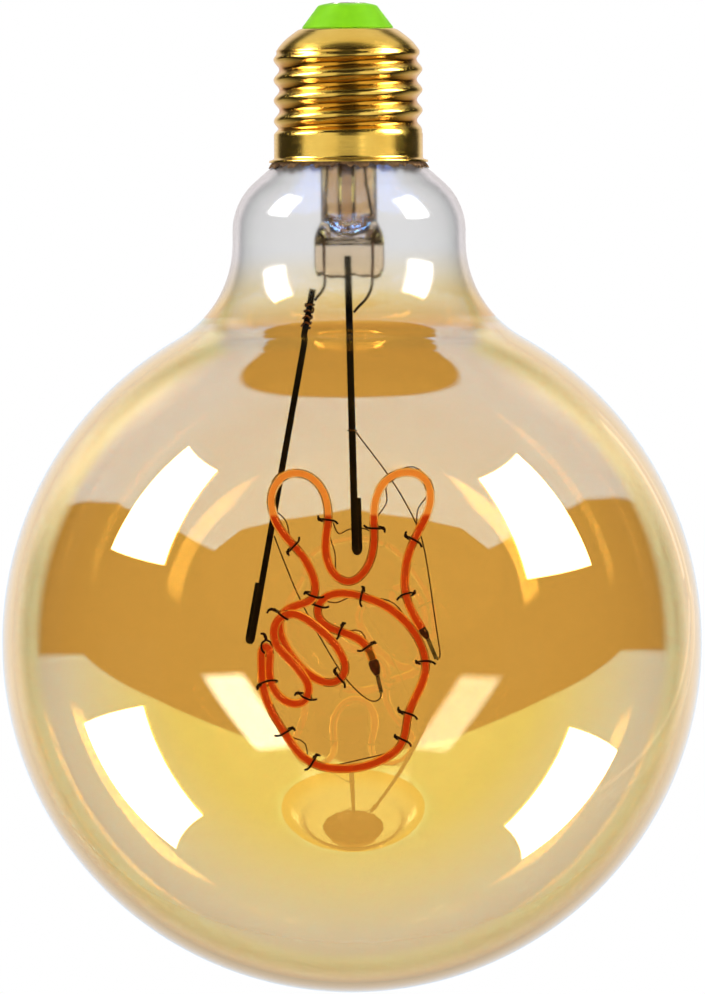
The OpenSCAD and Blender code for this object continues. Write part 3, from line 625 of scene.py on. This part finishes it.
def rolledBrass():
    # polished rolled brass: bright and yellow, fine marks run round it, with painted shade down in the thread
    # and painted light on the crests and the collar above it
    finish, tree, shader, place = newFinish("rolledBrass", Metallic=1.0)
    axes = addNode(tree, "SeparateXYZ", {}, {0: place})
    flat = addNode(tree, "CombineXYZ", {}, {0: axes.outputs["X"], 1: axes.outputs["Y"]})
    radius = addNode(tree, "VectorMath", {"operation": "LENGTH"}, {0: flat})
    # painted shade and light: darker down in the thread, brighter on the crests and the collar above it
    depth = addNode(
        tree, "MapRange", {"From Min": shell["paintedShadeRadius"] * mm, "From Max": shell["paintedLightRadius"] * mm},
        {"Value": radius.outputs["Value"]})
    collar = addNode(
        tree, "MapRange", {"From Min": shell["paintedShadeBelow"] * mm, "From Max": shell["paintedLightAbove"] * mm},
        {"Value": axes.outputs["Z"]})
    paintedLightAmount = addNode(tree, "Math", {"operation": "MAXIMUM"}, {0: depth, 1: collar})
    marks = addNode(tree, "Mapping", {"Scale": shell["markStretch"]}, {"Vector": place})
    lines = addNode(
        tree, "TexNoise", {"Scale": perMm(shell["markSize"]), "Detail": 5, "Roughness": 0.65},
        {"Vector": marks})
    blotch = addNode(tree, "TexNoise", {"Scale": perMm(shell["blotchSize"]), "Detail": 3}, {"Vector": place})
    paintedShadeAndLight = addNode(
        # painted shade colour down in the thread, painted light colour on the crests and the collar
        tree, "Mix", {"data_type": "RGBA", 6: linear("d58f1c"), 7: linear("f2cf68")}, {0: paintedLightAmount})
    tarnish = addNode(
        tree, "Mix", {"data_type": "RGBA", "blend_type": "MULTIPLY", 7: linear("e6d2a8")},
        {0: blotch, 6: paintedShadeAndLight.outputs[2]})
    link(tree, tarnish.outputs[2], shader.inputs["Base Color"])
    patternSurface(tree, shader, lines, (0.17, 0.27), (0.3, 0.7), 0.02, 0.35)
    return finish


screwShell = rollShell()
dress(screwShell, rolledBrass())
standsFor(screwShell, "screw_shell")
print("shell rolled")


# Insulator: one green moulding with a low cone and a flat seat for the contact
insulator = {
    # radius and height: the seat and the crown, the end of the straight cone, then the lip and the underside
    "crown": [(0.6, -0.9), (3.6, -0.9), (3.6, -0.3), (3.66, -0.25), (4.6, -0.44), (5.05, -0.58),
              (5.22, -0.66), (5.36, -0.82)],
    "coneEnd": (7.96, -4.3), "coneSteps": 8,
    "under": [(8.02, -4.42), (8.04, -4.62), (7.92, -4.72), (7.6, -4.82), (7.6, -5.45), (8.4, -6.1),
              (8.6, -7.2), (0.6, -7.2), (0.6, -0.9)],
    "corners": 128}


def mouldInsulator():
    rows = list(insulator["crown"])
    (startX, startZ), (endX, endZ) = rows[-1], insulator["coneEnd"]
    for i in range(1, insulator["coneSteps"] + 1):
        t = i / insulator["coneSteps"]
        rows.append((startX + (endX - startX) * t, startZ + (endZ - startZ) * t))
    piece = ringStack("capInsulator", rows + insulator["under"], insulator["corners"])
    mergeAndTurnOut(piece)
    smooth(piece, 30)
    return piece


def limeMoulding():
    # moulded plastic, slightly translucent: saturated green with brighter edges and a soft gloss
    finish, tree, shader, place = newFinish(
        "limeMoulding", Subsurface_Weight=0.12, Subsurface_Scale=0.8 * mm, IOR=1.5,
        Specular_IOR_Level=0.15)
    shader.inputs["Subsurface Radius"].default_value = (0.7, 1.0, 0.1)
    cloud = addNode(tree, "TexNoise", {"Scale": perMm(2.2), "Detail": 3}, {"Vector": place})
    colour = addNode(tree, "Mix", {"data_type": "RGBA", 6: linear("68ae00"), 7: linear("7ec600")}, {0: cloud})
    link(tree, colour.outputs[2], shader.inputs["Base Color"])
    grit = addNode(tree, "TexNoise", {"Scale": perMm(0.25), "Detail": 2}, {"Vector": place})
    patternSurface(tree, shader, grit, (0.4, 0.58), bumpMm=0.015, strength=0.3)
    return finish


capInsulator = mouldInsulator()
dress(capInsulator, limeMoulding())
standsFor(capInsulator, "cap_insulator")


# Contact: a pressed button with a spot of solder in its middle
contact = {
    # radius and height: the hollow under it, its wall, the face and the solder
    "profile": [(0.35, -0.5), (0.35, -0.9), (3.6, -0.9), (3.6, -0.3), (3.55, -0.22), (3.25, -0.14),
                (2.7, -0.05), (2.3, -0.02), (1.25, -0.03), (1.1, -0.05), (0.9, -0.012), (0.5, -0.002),
                (0, 0)],
    "corners": 96}


def pressContact():
    piece = ringStack("centreContact", contact["profile"], contact["corners"])
    activate(piece)
    bpy.ops.object.mode_set(mode="EDIT")
    bpy.ops.mesh.select_all(action="DESELECT")
    bpy.ops.object.mode_set(mode="OBJECT")
    for vertex in piece.data.vertices:
        vertex.select = abs(vertex.co.z - contact["profile"][0][1] * mm) < 0.001 * mm
    bpy.ops.object.mode_set(mode="EDIT")
    bpy.ops.mesh.edge_face_add()
    mergeAndTurnOut(piece)
    smooth(piece, 35)
    return piece


centreContact = pressContact()
dress(centreContact, wear("platedContact", "b9b7ae", "e2e1da", 1.5, 0.18, 0.34, 0.01, Metallic=1.0))
standsFor(centreContact, "centre_contact")


# Cement: brown basing cement that swells out a little at the mouth, rough and crumbly
cement = {
    "inner": 11.62, "outer": 12.78, "top": -24.2, "front": (13.6, -28.95), "corners": 240,
    # the face against the glass, then the free face under the shell's rim
    "glassSide": [(11.62, -26.4), (11.85, -27.1), (12.05, -27.5), (12.4, -28.0), (12.75, -28.35),
                  (13.2, -28.75)],
    "freeSide": [(12.78, -27.5), (13.0, -27.75), (13.4, -28.15), (13.62, -28.5), (13.68, -28.8)],
    # crumbs that run down the slope of the glass: waves round the rim as count, start and size
    "crumb": 0.75, "crumbTop": -28.3, "crumbFade": 0.4, "slope": 1.144,
    "waves": [(13, 1.3, 1.0), (31, 0.0, 1.0), (57, 2.0, 0.8)], "waveLift": 0.9, "waveSpan": 3.7}


def pourCement():
    rows = [(cement["inner"], cement["top"]), (cement["outer"], cement["top"])] + cement["freeSide"]
    rows += [cement["front"]] + cement["glassSide"][::-1] + [(cement["inner"], cement["top"])]
    piece = ringStack("capCement", rows, cement["corners"])
    mergeAndTurnOut(piece)
    for vertex in piece.data.vertices:
        x, y, z = vertex.co / mm
        low = max(0.0, min(1.0, (cement["crumbTop"] - z) / cement["crumbFade"]))
        if low > 0:
            angle = math.atan2(y, x)
            lump = sum(size * math.sin(count * angle + start) for count, start, size in cement["waves"])
            slide = (lump + cement["waveLift"]) / cement["waveSpan"] * cement["crumb"] * low
            wider = 1 + cement["slope"] * slide / math.hypot(x, y)
            vertex.co.x *= wider
            vertex.co.y *= wider
            vertex.co.z -= slide * mm
    smooth(piece, 40)
    return piece


capCement = pourCement()
dress(capCement, wear("basingCement", "4a2f18", "a27a4c", 0.5, 0.75, 0.95, 0.12))
standsFor(capCement, "cap_cement")
print("cap finished")


# Stem: a clear flare tube, its lower end pressed flat round the wires
stem = {
    "tube": 10.1, "wall": 0.35, "rimRadius": 10.7, "trumpetHeight": -26.5, "trumpetDepth": 4,
    "tubeEnd": -38.8,
    # radius, and height above the tube's end, where the hollow closes over the wires
    "hollowEnd": [(0, -1.3), (1.8, -1.2), (3.3, -0.7), (4.3, 0.2)], "hollowEdge": 1.6,
    "pinchFull": -43.6, "pinchEnd": -49.1, "pinchHalfWidth": 6.3, "pinchHalfDepth": 2.0, "pinchCorner": 0.9,
    "pinchSteps": 16, "pinchWidening": 1.25, "pinchPlain": 1.6, "pinchLift": 0.6,
    "square": 3.2, "squareOver": 3,
    # waves along the lower edge as turn per mm, start and size
    "wave": 0.35, "waves": [(1.05, 0.6, 0.6), (2.3, 0.0, 0.4)], "waveLift": 0.6, "waveOver": 2, "corners": 96,
    "trumpetSteps": 14, "cornerSteps": 8,
    # painted dark refraction as brown streaks: the heights where they start, are full, thin out and end, the
    # distances from the middle and the levels of the noise where they start and are full
    "streakHeights": (-39.2, -40.4, -42.2, -43.4), "streakSides": (1.4, 3.4), "streakNoise": (0.36, 0.5),
    "streakSize": 1.6, "streakBump": 0.07}


def pressStem():
    outer = stem["tube"] / 2
    inner = outer - stem["wall"]
    trumpet = stem["rimRadius"] - outer
    centre = (stem["rimRadius"], stem["trumpetHeight"])
    trumpetEnd = stem["trumpetHeight"] - stem["trumpetDepth"]
    end = stem["tubeEnd"]
    rows = [(radius, end + rise) for radius, rise in stem["hollowEnd"]]
    rows += [(inner, end + stem["hollowEdge"]), (inner, trumpetEnd)]
    rows += arcRows(centre, trumpet + stem["wall"], 180, 90, stem["trumpetSteps"])
    rows += arcRows(centre, trumpet, 90, 180, stem["trumpetSteps"])
    rows = [(r, r, z) for r, z in rows + [(outer, trumpetEnd), (outer, end + 1)]]
    pinchStart = len(rows)
    halfWidth, halfDepth = stem["pinchHalfWidth"], stem["pinchHalfDepth"]
    for i in range(stem["pinchSteps"] + 1):
        t = i / stem["pinchSteps"]
        ease = t * t * (3 - 2 * t)
        widen = math.sin(math.pi / 2 * min(1, t * stem["pinchWidening"]))
        rows.append((outer + (halfWidth - outer) * widen, outer + (halfDepth - outer) * ease,
                     end + (stem["pinchFull"] - end) * t))
    full = stem["pinchEnd"] + halfDepth
    plain, lift = stem["pinchPlain"], stem["pinchLift"]
    rows += [(halfWidth, halfDepth, full + plain), (halfWidth, halfDepth, full + lift)]
    for i in range(1, stem["cornerSteps"] + 1):
        a = math.radians(90 * i / stem["cornerSteps"])
        rows.append((halfWidth - stem["pinchCorner"] * (1 - math.cos(a)), halfDepth * math.cos(a),
                     full + lift - (halfDepth + lift) * math.sin(a)))
    piece = ringStack("stemFlare", rows, stem["corners"])
    vertices = list(piece.data.vertices)
    for i, (wide, deep, z) in enumerate(rows[pinchStart:], pinchStart):
        # from round to nearly square
        power = 1 + (2 / stem["square"] - 1) * min(1.0, (end - z) / stem["squareOver"])
        for vertex in vertices[i * stem["corners"]:(i + 1) * stem["corners"]]:
            for axis, half in ((0, max(wide, tip) * mm), (1, max(deep, tip) * mm)):
                part = vertex.co[axis] / half
                vertex.co[axis] = math.copysign(abs(part) ** power, part) * half
    for vertex in vertices:
        x, y, z = vertex.co / mm
        low = max(0.0, min(1.0, (full + plain - z) / stem["waveOver"]))
        lump = stem["waveLift"]
        lump += sum(size * math.sin(turn * x + start) for turn, start, size in stem["waves"])
        vertex.co.z += stem["wave"] * low * lump * mm
    mergeAndTurnOut(piece, 0.01)
    smooth(piece, 50)
    return piece


def pressedStemGlass():
    # clear lead glass with painted brown streaks beside the seal wires, standing in for the dark refractions
    # there
    finish, tree, shader, place = newFinish(
        "pressedStemGlass", Roughness=0.0, IOR=1.54, Transmission_Weight=1.0)
    axes = addNode(tree, "SeparateXYZ", {}, {0: place})
    side = addNode(tree, "Math", {"operation": "ABSOLUTE"}, {0: axes.outputs["X"]})
    noise = addNode(tree, "TexNoise", {"Scale": perMm(stem["streakSize"]), "Detail": 3}, {"Vector": place})
    start, full, thin, end = [height * mm for height in stem["streakHeights"]]
    near, far = [distance * mm for distance in stem["streakSides"]]
    masks = [
        addNode(tree, "MapRange", {"From Min": first, "From Max": last}, {"Value": level})
        for level, first, last in (
            (axes.outputs["Z"], start, full), (axes.outputs["Z"], end, thin), (side, near, far),
            (noise, *stem["streakNoise"]))]
    # painted dark refraction: brown where every streak mask is
    tint = addNode(
        tree, "Mix", {"data_type": "RGBA", 6: linear("f0dcc0"), 7: linear("3a2416")},
        {0: overlap(tree, *masks)})
    link(tree, tint.outputs[2], shader.inputs["Base Color"])
    bump = addNode(tree, "Bump", {"Strength": 1.0, "Distance": stem["streakBump"] * mm}, {"Height": noise})
    link(tree, bump, shader.inputs["Normal"])
    return finish


stemFlare = pressStem()
dress(stemFlare, pressedStemGlass())
standsFor(stemFlare, "stem_flare")

# Exhaust tube: thin clear tube, drawn off to a rounded tip inside the cap
exhaust = {
    "x": -0.4, "radius": 1.7, "wall": 0.7, "bottom": -40.3, "tip": -13.5, "drawn": 3, "round": 1.6,
    # the end of the bore as share of its radius and height above the shoulder, then the point that is left
    # where it was melted off
    "boreEnd": [(0, 0), (0.6, -0.2), (1, -1.2)],
    "point": [(0.35, -0.6), (0.2, -0.1), (0, 0)], "corners": 48}


def drawExhaust():
    radius, bore = exhaust["radius"], exhaust["radius"] - exhaust["wall"]
    shoulder = exhaust["tip"] - exhaust["drawn"]
    rows = [(bore * share, shoulder + rise) for share, rise in exhaust["boreEnd"]]
    rows += [(bore, exhaust["bottom"]), (radius, exhaust["bottom"]), (radius, shoulder)]
    rows += arcRows((radius - exhaust["round"], shoulder), exhaust["round"], 0, 70, 6)[1:]
    rows += [(r, exhaust["tip"] + rise) for r, rise in exhaust["point"]]
    piece = ringStack("exhaustTube", rows, exhaust["corners"], exhaust["x"])
    mergeAndTurnOut(piece)
    smooth(piece, 50)
    return piece


exhaustTube = drawExhaust()
dress(exhaustTube, clearGlass("drawnTubeGlass", "f0e2d0", 0.01, 4))
standsFor(exhaustTube, "exhaust_tube")
print("stem pressed")


# Support rods: blackened steel wire, each bent back on itself at its lower end
rods = {
    "gap": 0.05, "bendSteps": 14,
    "centreRod": {"diameter": 1.3, "start": (-0.3, 0, -45), "end": (0.7, 0.2, -96.5), "hook": 9, "turn": 130,
                  "node": "centre_rod"},
    "leftRod": {"diameter": 1.15, "start": (-6.6, 0, -51), "end": (-18, 4, -112.6), "hook": 10, "turn": 220,
                "node": "left_rod"}}


def alongAxis(start, end):
    # turns +Z onto the line from start to end, and moves the origin to its start
    line = Vector(end) - Vector(start)
    sweep = Matrix.Rotation(math.atan2(line.y, line.x), 4, "Z")
    lean = Matrix.Rotation(math.acos(line.z / line.length), 4, "Y")
    return Matrix.Translation(Vector(start)) @ sweep @ lean, line.length


def bendRod(name, plan):
    place, length = alongAxis(plan["start"], plan["end"])
    place = place @ Matrix.Rotation(math.radians(plan["turn"]), 4, "Z")
    half = (plan["diameter"] + rods["gap"]) / 2
    local = [(0, 0, 0), (0, 0, length / 2)]
    for i in range(rods["bendSteps"] + 1):
        a = math.pi * i / rods["bendSteps"]
        local.append((half - half * math.cos(a), 0, length + half * math.sin(a)))
    local.append((2 * half, 0, length - plan["hook"]))
    piece = wirePiece(name, [[place @ Vector(p) for p in local]], plan["diameter"], 6, curved=False)
    standsFor(piece, plan["node"])
    return piece


# blackened steel: near black, semi-gloss, faint drawing marks along it
rodFinish = wear("blackenedSteel", "0d0b0a", "2b2620", 2.5, 0.12, 0.24, 0.01, (1, 1, 0.25), Metallic=0.6)
for rodName in ("centreRod", "leftRod"):
    dress(bendRod(rodName, rods[rodName]), rodFinish)


# Weld wrap: fine wire wound round the left rod over its weld
wrap = {"wire": 0.36, "pitch": 1.3, "turns": 4, "start": 2.5, "steps": 20, "gap": 0.04, "kink": 0.22,
        "kinkWaves": ((0.37, 0), (0.93, 1))}


def windWrap():
    plan = rods["leftRod"]
    place, length = alongAxis(plan["start"], plan["end"])
    radius = plan["diameter"] / 2 + wrap["wire"] / 2 + wrap["gap"]
    turns = []
    for i in range(wrap["turns"] * wrap["steps"] + 1):
        a = 2 * math.pi * i / wrap["steps"]
        uneven = wrap["kink"] * sum(math.sin(turn * i + start) for turn, start in wrap["kinkWaves"])
        turns.append(place @ Vector((radius * math.cos(a), radius * math.sin(a),
                                     wrap["start"] + wrap["pitch"] * i / wrap["steps"] + uneven)))
    return wirePiece("weldWrap", [turns], wrap["wire"], 3, 1, curved=False)


weldWrap = windWrap()
dress(weldWrap, wear("wrapWire", "3a2416", "8a5a34", 0.8, 0.3, 0.5, 0.01, Metallic=0.9))
standsFor(weldWrap, "weld_wrap_left")
print("rods bent")


# Filament: a red strip of diodes in a round body of clear orange silicone, bent into an open hand
filament = {
    "diameter": 1.64, "stripWidth": 0.8, "stripThickness": 0.24, "steps": 8, "roundness": 6,
    # painted light: above this height the fingertips are painted paler, as the glass in front of them
    # lightens them
    "paleAbove": -90.6, "paleEdge": 0.4,
    # distances from the inner end where the strip starts to darken and is full dark
    "sealFrom": 3.2, "sealFull": 1.4,
    # the route's points as x, height, depth
    "route": [
        (12.5, -111, -1.3), (11, -108.5, -1.2), (9.5, -105, -0.8), (9.5, -101.5, -0.2), (10, -98, 0),
        (11.5, -94.5, 0), (13.5, -91, 0), (14.5, -88, 0), (14, -84.5, 0), (11.5, -82.8, 0),
        (8, -83, 0), (5.5, -85, 0), (4.2, -88, 0), (4, -91.5, 0), (4.2, -95, 0),
        (3.7, -98.5, 0), (2, -101.5, 0), (-0.5, -103, 0), (-3.2, -101.5, 0), (-4.6, -98.5, 0),
        (-4.7, -95, 0), (-4, -91.5, 0), (-4.2, -88, 0), (-5.5, -85, 0), (-8, -83, 0),
        (-11.3, -82.8, 0), (-13.8, -84.9, 0), (-14.6, -88, 0), (-13.8, -91.4, 0), (-11.8, -94.5, 0),
        (-9.3, -97, 0), (-7.5, -99.8, -0.2), (-6.4, -102.6, -0.6), (-6.6, -105.8, -0.6),
        (-9.5, -106.6, 0.2), (-12.2, -107.5, 1.1), (-13.2, -109.8, 1.2), (-12.8, -112.5, 1.2),
        (-11.2, -115.5, 1.2), (-9, -118.3, 1.1), (-6.2, -120.3, 0.8), (-3.2, -121, 0.3),
        (-1, -119, 0), (-1.4, -116.4, -0.3), (-3.2, -113.4, -0.7), (-5.6, -111.1, -1.1),
        (-8, -109.2, -1.2), (-10.6, -107.9, -1.2), (-13.2, -108.8, -1.2), (-14.2, -111.2, -1.2),
        (-13.6, -114, -1.2), (-11.4, -116.2, -1.2), (-9, -118.8, -1.1), (-7.4, -121.6, -0.8),
        (-8.6, -124.4, -0.4), (-11.4, -124.5, -0.2), (-13.8, -122.6, -0.3), (-15, -119.6, -0.4),
        (-14.9, -117, -0.5), (-14.6, -114, -0.3), (-16.4, -114.1, 1.2), (-16.2, -117.2, 1.3),
        (-16.3, -120, 1.3), (-15.6, -123.4, 0.4), (-14, -126.8, 0), (-11.8, -130.2, 0),
        (-9.6, -133.6, 0), (-6.5, -135.7, 0), (-2.5, -136.2, 0), (1.5, -136, 0),
        (5.2, -134.7, 0), (8.6, -132.6, 0), (9.6, -129.6, 0), (9.8, -126.4, 0),
        (11.4, -123.2, 0.2), (13, -120, 0.5), (13.4, -116.8, 0.9), (12.2, -113.2, 1.1),
        (10, -110, 1.1), (7, -107.3, 1), (3.6, -105.7, 1), (0, -104.6, 1),
        (-3.4, -104.5, 1.1), (-5.9, -105.9, 1.3), (-6.5, -108.6, 1.3), (-4.3, -110.9, 1.2),
        (-1.2, -111.7, 0.8), (1.6, -112.9, 0.4), (3.2, -114.9, 0.2), (3.7, -116.6, 0.2)]}
filamentRoute = [Vector((x, depth, height)) for x, height, depth in filament["route"]]


def onFilament(u):
    # the point of the smooth curve at position u, counted in route points
    points = padEnds(filamentRoute)
    i = min(int(u), len(filamentRoute) - 2)
    t = u - i
    a, b, c, d = points[i:i + 4]
    return (a * (1 - t) ** 3 + b * (3 * t ** 3 - 6 * t ** 2 + 4)
            + c * (-3 * t ** 3 + 3 * t ** 2 + 3 * t + 1) + d * t ** 3) / 6


def alongFilament(u):
    last = len(filamentRoute) - 1
    return (onFilament(min(u + 0.05, last)) - onFilament(max(u - 0.05, 0))).normalized()


def bendFilament():
    coating = wirePiece(
        "filamentCoating", [filamentRoute], filament["diameter"], filament["roundness"], filament["steps"])
    # the strip: a line drawn along the route, raised into a ribbon and thickened sideways
    strip = wirePiece("filamentStrip", [filamentRoute], 0, 0, filament["steps"])
    activate(strip)
    bpy.ops.object.mode_set(mode="EDIT")
    bpy.ops.mesh.select_all(action="SELECT")
    half = filament["stripThickness"] / 2
    bpy.ops.transform.translate(value=(0, -half * mm, 0))
    bpy.ops.mesh.extrude_edges_move(TRANSFORM_OT_translate={"value": (0, 2 * half * mm, 0)})
    bpy.ops.object.mode_set(mode="OBJECT")
    applyModifier(strip, "SOLIDIFY", thickness=filament["stripWidth"] * mm, offset=0)
    mergeAndTurnOut(strip, seam)
    smooth(strip, 50)
    return coating, strip


def paintedPaleTips(tree, place):
    # painted light: 0 over most of the hand and 1 at the fingertips above the amber band, which are painted
    # paler
    axes = addNode(tree, "SeparateXYZ", {}, {0: place})
    return addNode(
        tree, "MapRange",
        {"interpolation_type": "SMOOTHSTEP", "From Min": (filament["paleAbove"] - filament["paleEdge"]) * mm,
         "From Max": (filament["paleAbove"] + filament["paleEdge"]) * mm}, {"Value": axes.outputs["Z"]})


def clearOrangeSilicone():
    # extruded silicone, clear orange: the strip shows through it, magnified, and a faint painted glow makes
    # its edges peach
    finish, tree, shader, place = newFinish(
        "clearOrangeSilicone", IOR=1.41, Transmission_Weight=0.94, Emission_Strength=0.08)
    cloud = addNode(tree, "TexNoise", {"Scale": perMm(1.2), "Detail": 3}, {"Vector": place})
    pale = paintedPaleTips(tree, place)
    red = addNode(tree, "Mix", {"data_type": "RGBA", 6: linear("ffa030"), 7: linear("ffbc58")}, {0: cloud})
    # painted light: paler silicone at the fingertips
    colour = addNode(tree, "Mix", {"data_type": "RGBA", 7: linear("ffdca0")}, {0: pale, 6: red.outputs[2]})
    link(tree, colour.outputs[2], shader.inputs["Base Color"])
    # faint painted glow, in the silicone's own colour
    link(tree, colour.outputs[2], shader.inputs["Emission Color"])
    patternSurface(tree, shader, cloud, (0.04, 0.12))
    return finish


def phosphorStrip():
    # phosphor-coated diode strip: saturated red with a painted glow, though the lamp is off, and painted
    # paler orange at the fingertips
    finish, tree, shader, place = newFinish("phosphorStrip", Emission_Strength=0.5)
    grain = addNode(tree, "TexNoise", {"Scale": perMm(0.7), "Detail": 3}, {"Vector": place})
    pale = paintedPaleTips(tree, place)
    red = addNode(tree, "Mix", {"data_type": "RGBA", 6: linear("a80400"), 7: linear("d41804")}, {0: grain})
    # painted light: paler orange strip at the fingertips
    orange = addNode(tree, "Mix", {"data_type": "RGBA", 6: linear("f0a264"), 7: linear("fabc84")}, {0: grain})
    # darker where it runs into its inner end seal
    end = filamentRoute[-1] * mm
    away = addNode(tree, "VectorMath", {"operation": "DISTANCE", 1: end}, {0: place})
    sealed = addNode(
        tree, "MapRange", {"From Min": filament["sealFrom"] * mm, "From Max": filament["sealFull"] * mm},
        {"Value": away.outputs["Value"]})
    dark = addNode(tree, "Mix", {"data_type": "RGBA", 7: linear("3e0604")}, {0: sealed, 6: red.outputs[2]})
    colour = addNode(tree, "Mix", {"data_type": "RGBA"}, {0: pale, 6: dark.outputs[2], 7: orange.outputs[2]})
    link(tree, colour.outputs[2], shader.inputs["Base Color"])
    # painted glow, in the strip's own colour
    link(tree, colour.outputs[2], shader.inputs["Emission Color"])
    patternSurface(tree, shader, grain, (0.35, 0.5))
    return finish


filamentCoating, filamentStrip = bendFilament()
dress(filamentCoating, clearOrangeSilicone())
standsFor(filamentCoating, "filament_coating")
dress(filamentStrip, phosphorStrip())
standsFor(filamentStrip, "filament_strip")
print("filament bent")


# Wire ties: a loop round the filament and the formed wire behind it, its two ends twisted together
ties = {
    "wire": 0.4, "clearance": 0.05, "twist": 0.19, "turnsPerMm": 0.8, "reach": 0.5, "pairGap": 0.1,
    "curl": 0.45, "stub": 0.55, "stubTuck": 0.1, "stubParts": (0, 0.4, 0.8, 1.2, 1.5), "tailSteps": 10,
    "loopSteps": 24,
    # position on the filament, then the tail's length and its side
    "single": [(2, 1), (4.8, -1.4), (13.4, -1.4), (21, -1.2), (29.6, 1.2), (32.8, 1), (41.5, -1.4),
               (53.6, 1.6), (59.5, 2.4), (64.8, -1.2), (66.7, -1.2), (71.5, -1), (73, -1.6), (75.9, -1),
               (80.5, 1), (83.3, 1), (85.7, -1), (87.7, -1)],
    # position on each of two strands, then the tail
    "pair": [(35.3, 47.8, -2.4), (62.3, 56.9, -2.2)]}


def tieRoute(loopRadius, reach, tail):
    # the tie in its own plane: x sideways, y to the back, z along the filament
    side = math.copysign(1, tail)
    long = abs(tail)
    steps, halfLoop = ties["tailSteps"], ties["loopSteps"] // 2
    spread = ties["twist"]

    def strand(i, start):
        along = 1 - i / steps
        a = start + 2 * math.pi * ties["turnsPerMm"] * long * along
        bend = ties["curl"] * long * along * along
        out = loopRadius + ties["clearance"] + long * along - bend * along
        return side * out, reach / 2 + spread * math.cos(a), spread * math.sin(a) + bend

    route = [strand(i, math.pi / 2) for i in range(steps + 1)]
    for i in range(1, ties["loopSteps"]):
        a = math.pi * i / halfLoop
        x, y = loopRadius * math.cos(a), -loopRadius * math.sin(a)
        back = reach if i > halfLoop else reach / 2 if i == halfLoop else 0
        route.append((side * x, y + back, spread * (1 - i / halfLoop)))
    route += [strand(steps - i, -math.pi / 2) for i in range(steps + 1)]
    return route


def stubRoute(loopRadius, reach, tail):
    # the short cut end on the tie's other side, bent the other way
    side = -math.copysign(1, tail)
    start, length = loopRadius - ties["stubTuck"], ties["stub"]
    return [(side * (start + length * t), reach / 2, -ties["curl"] * length * t * t)
            for t in ties["stubParts"]]


def squareToFilament(u):
    h = alongFilament(u)
    return (Matrix.Translation(onFilament(u)) @ Matrix.Rotation(math.atan2(h.x, h.z), 4, "Y")
            @ Matrix.Rotation(-math.asin(h.y), 4, "X"))


def twistTies():
    loopRadius = filament["diameter"] / 2 + ties["wire"] / 2 + ties["clearance"]
    routes = []
    for u, tail in ties["single"]:
        place = squareToFilament(u)
        routes.append([place @ Vector(p) for p in tieRoute(loopRadius, ties["reach"], tail)])
        routes.append([place @ Vector(p) for p in stubRoute(loopRadius, ties["reach"], tail)])
    for u, other, tail in ties["pair"]:
        h = alongFilament(u)
        gap = onFilament(other) - onFilament(u)
        sideways = Vector((h.z, 0, -h.x)).normalized()
        across, upward = gap.dot(sideways), gap.dot(h.cross(sideways))
        place = squareToFilament(u) @ Matrix.Rotation(math.atan2(-across, upward), 4, "Z")
        reach = math.hypot(across, upward)
        routes.append([place @ Vector(p) for p in tieRoute(loopRadius + ties["pairGap"], reach, tail)])
    return wirePiece("tieWires", routes, ties["wire"], 2, 3)


tieWires = twistTies()
dress(tieWires, wear("annealedTieWire", "14060a", "3c1410", 0.6, 0.25, 0.45, 0.01, Metallic=0.7))
standsFor(tieWires, "tie_wires")
print("ties twisted")


# Finishes for the pieces whose CAD shape stays
steelWire = wear("oxidisedSteelWire", "4a3418", "a07c48", 1.2, 0.25, 0.42, 0.004, Metallic=0.7)
nickelWire = wear("drawnNickelWire", "120c0a", "4a3020", 1.6, 0.25, 0.4, 0.004, Metallic=0.5)
copperWire = wear("tarnishedCopperWire", "1d0f0a", "6a3a22", 1.4, 0.3, 0.5, 0.01, Metallic=0.5)
sealWire = wear("copperCladWire", "3a1c14", "a5654c", 1.2, 0.3, 0.45, 0.004, Metallic=0.5)
maroonSeal = wear("maroonEndSeal", "2c0806", "54120c", 0.7, 0.3, 0.45, 0.02)
tinnedTab = wear("tinnedSteelTab", "9c958a", "cfc9bd", 0.8, 0.25, 0.4, 0.01, Metallic=1.0)
blackPlastic = wear("mouldedEpoxy", "121212", "242426", 0.3, 0.45, 0.65, 0.02)
cadFinishes = {
    "outer_lead_left": copperWire, "outer_lead_right": copperWire,
    "seal_wire_left": sealWire, "seal_wire_right": sealWire,
    "inner_lead_left": nickelWire, "inner_lead_right": nickelWire,
    "cross_wire": steelWire, "right_feed_wire": steelWire, "left_feed_wire": steelWire,
    "finger_frame_wire": steelWire, "ring_frame_wire": steelWire, "palm_frame_wire": steelWire,
    "right_end_sleeve": maroonSeal, "left_end_sleeve": maroonSeal,
    "right_end_tab": tinnedTab, "left_end_tab": tinnedTab,
    "driver_board": wear("solderMaskedBoard", "0b4a2b", "14663c", 1.6, 0.3, 0.5, 0.02),
    "smoothing_capacitor": wear("shrinkSleeve", "10121f", "1d2036", 1.5, 0.25, 0.4, 0.02),
    "inductor": wear("ferriteDrum", "2a2421", "453c36", 0.4, 0.5, 0.7, 0.03),
    "film_capacitor": wear("dippedLacquer", "7e1912", "a32318", 1.2, 0.2, 0.35, 0.03),
    "bridge_rectifier": blackPlastic, "driver_chip": blackPlastic,
    "fuse_resistor": wear("resistorLacquer", "2c4a66", "3f6485", 0.9, 0.3, 0.45, 0.02),
    "live_wire": wear("redPvc", "8e0f0a", "b3170f", 1.0, 0.35, 0.5, 0.01),
    "neutral_wire": wear("blackPvc", "0b0b0b", "1a1a1a", 1.0, 0.35, 0.5, 0.01)}
for node, finish in cadFinishes.items():
    dress(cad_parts[node], finish)
print("carried-over pieces finished")

hangCapLights([screwShell, capInsulator, centreContact])

# Rays cross the globe, the stem and the silicone on their way, so they need more steps than usual
scene = bpy.context.scene
scene.cycles.max_bounces = 24
scene.cycles.transmission_bounces = 24
scene.cycles.glossy_bounces = 8
scene.view_settings.view_transform = "Standard"

clearSelection()
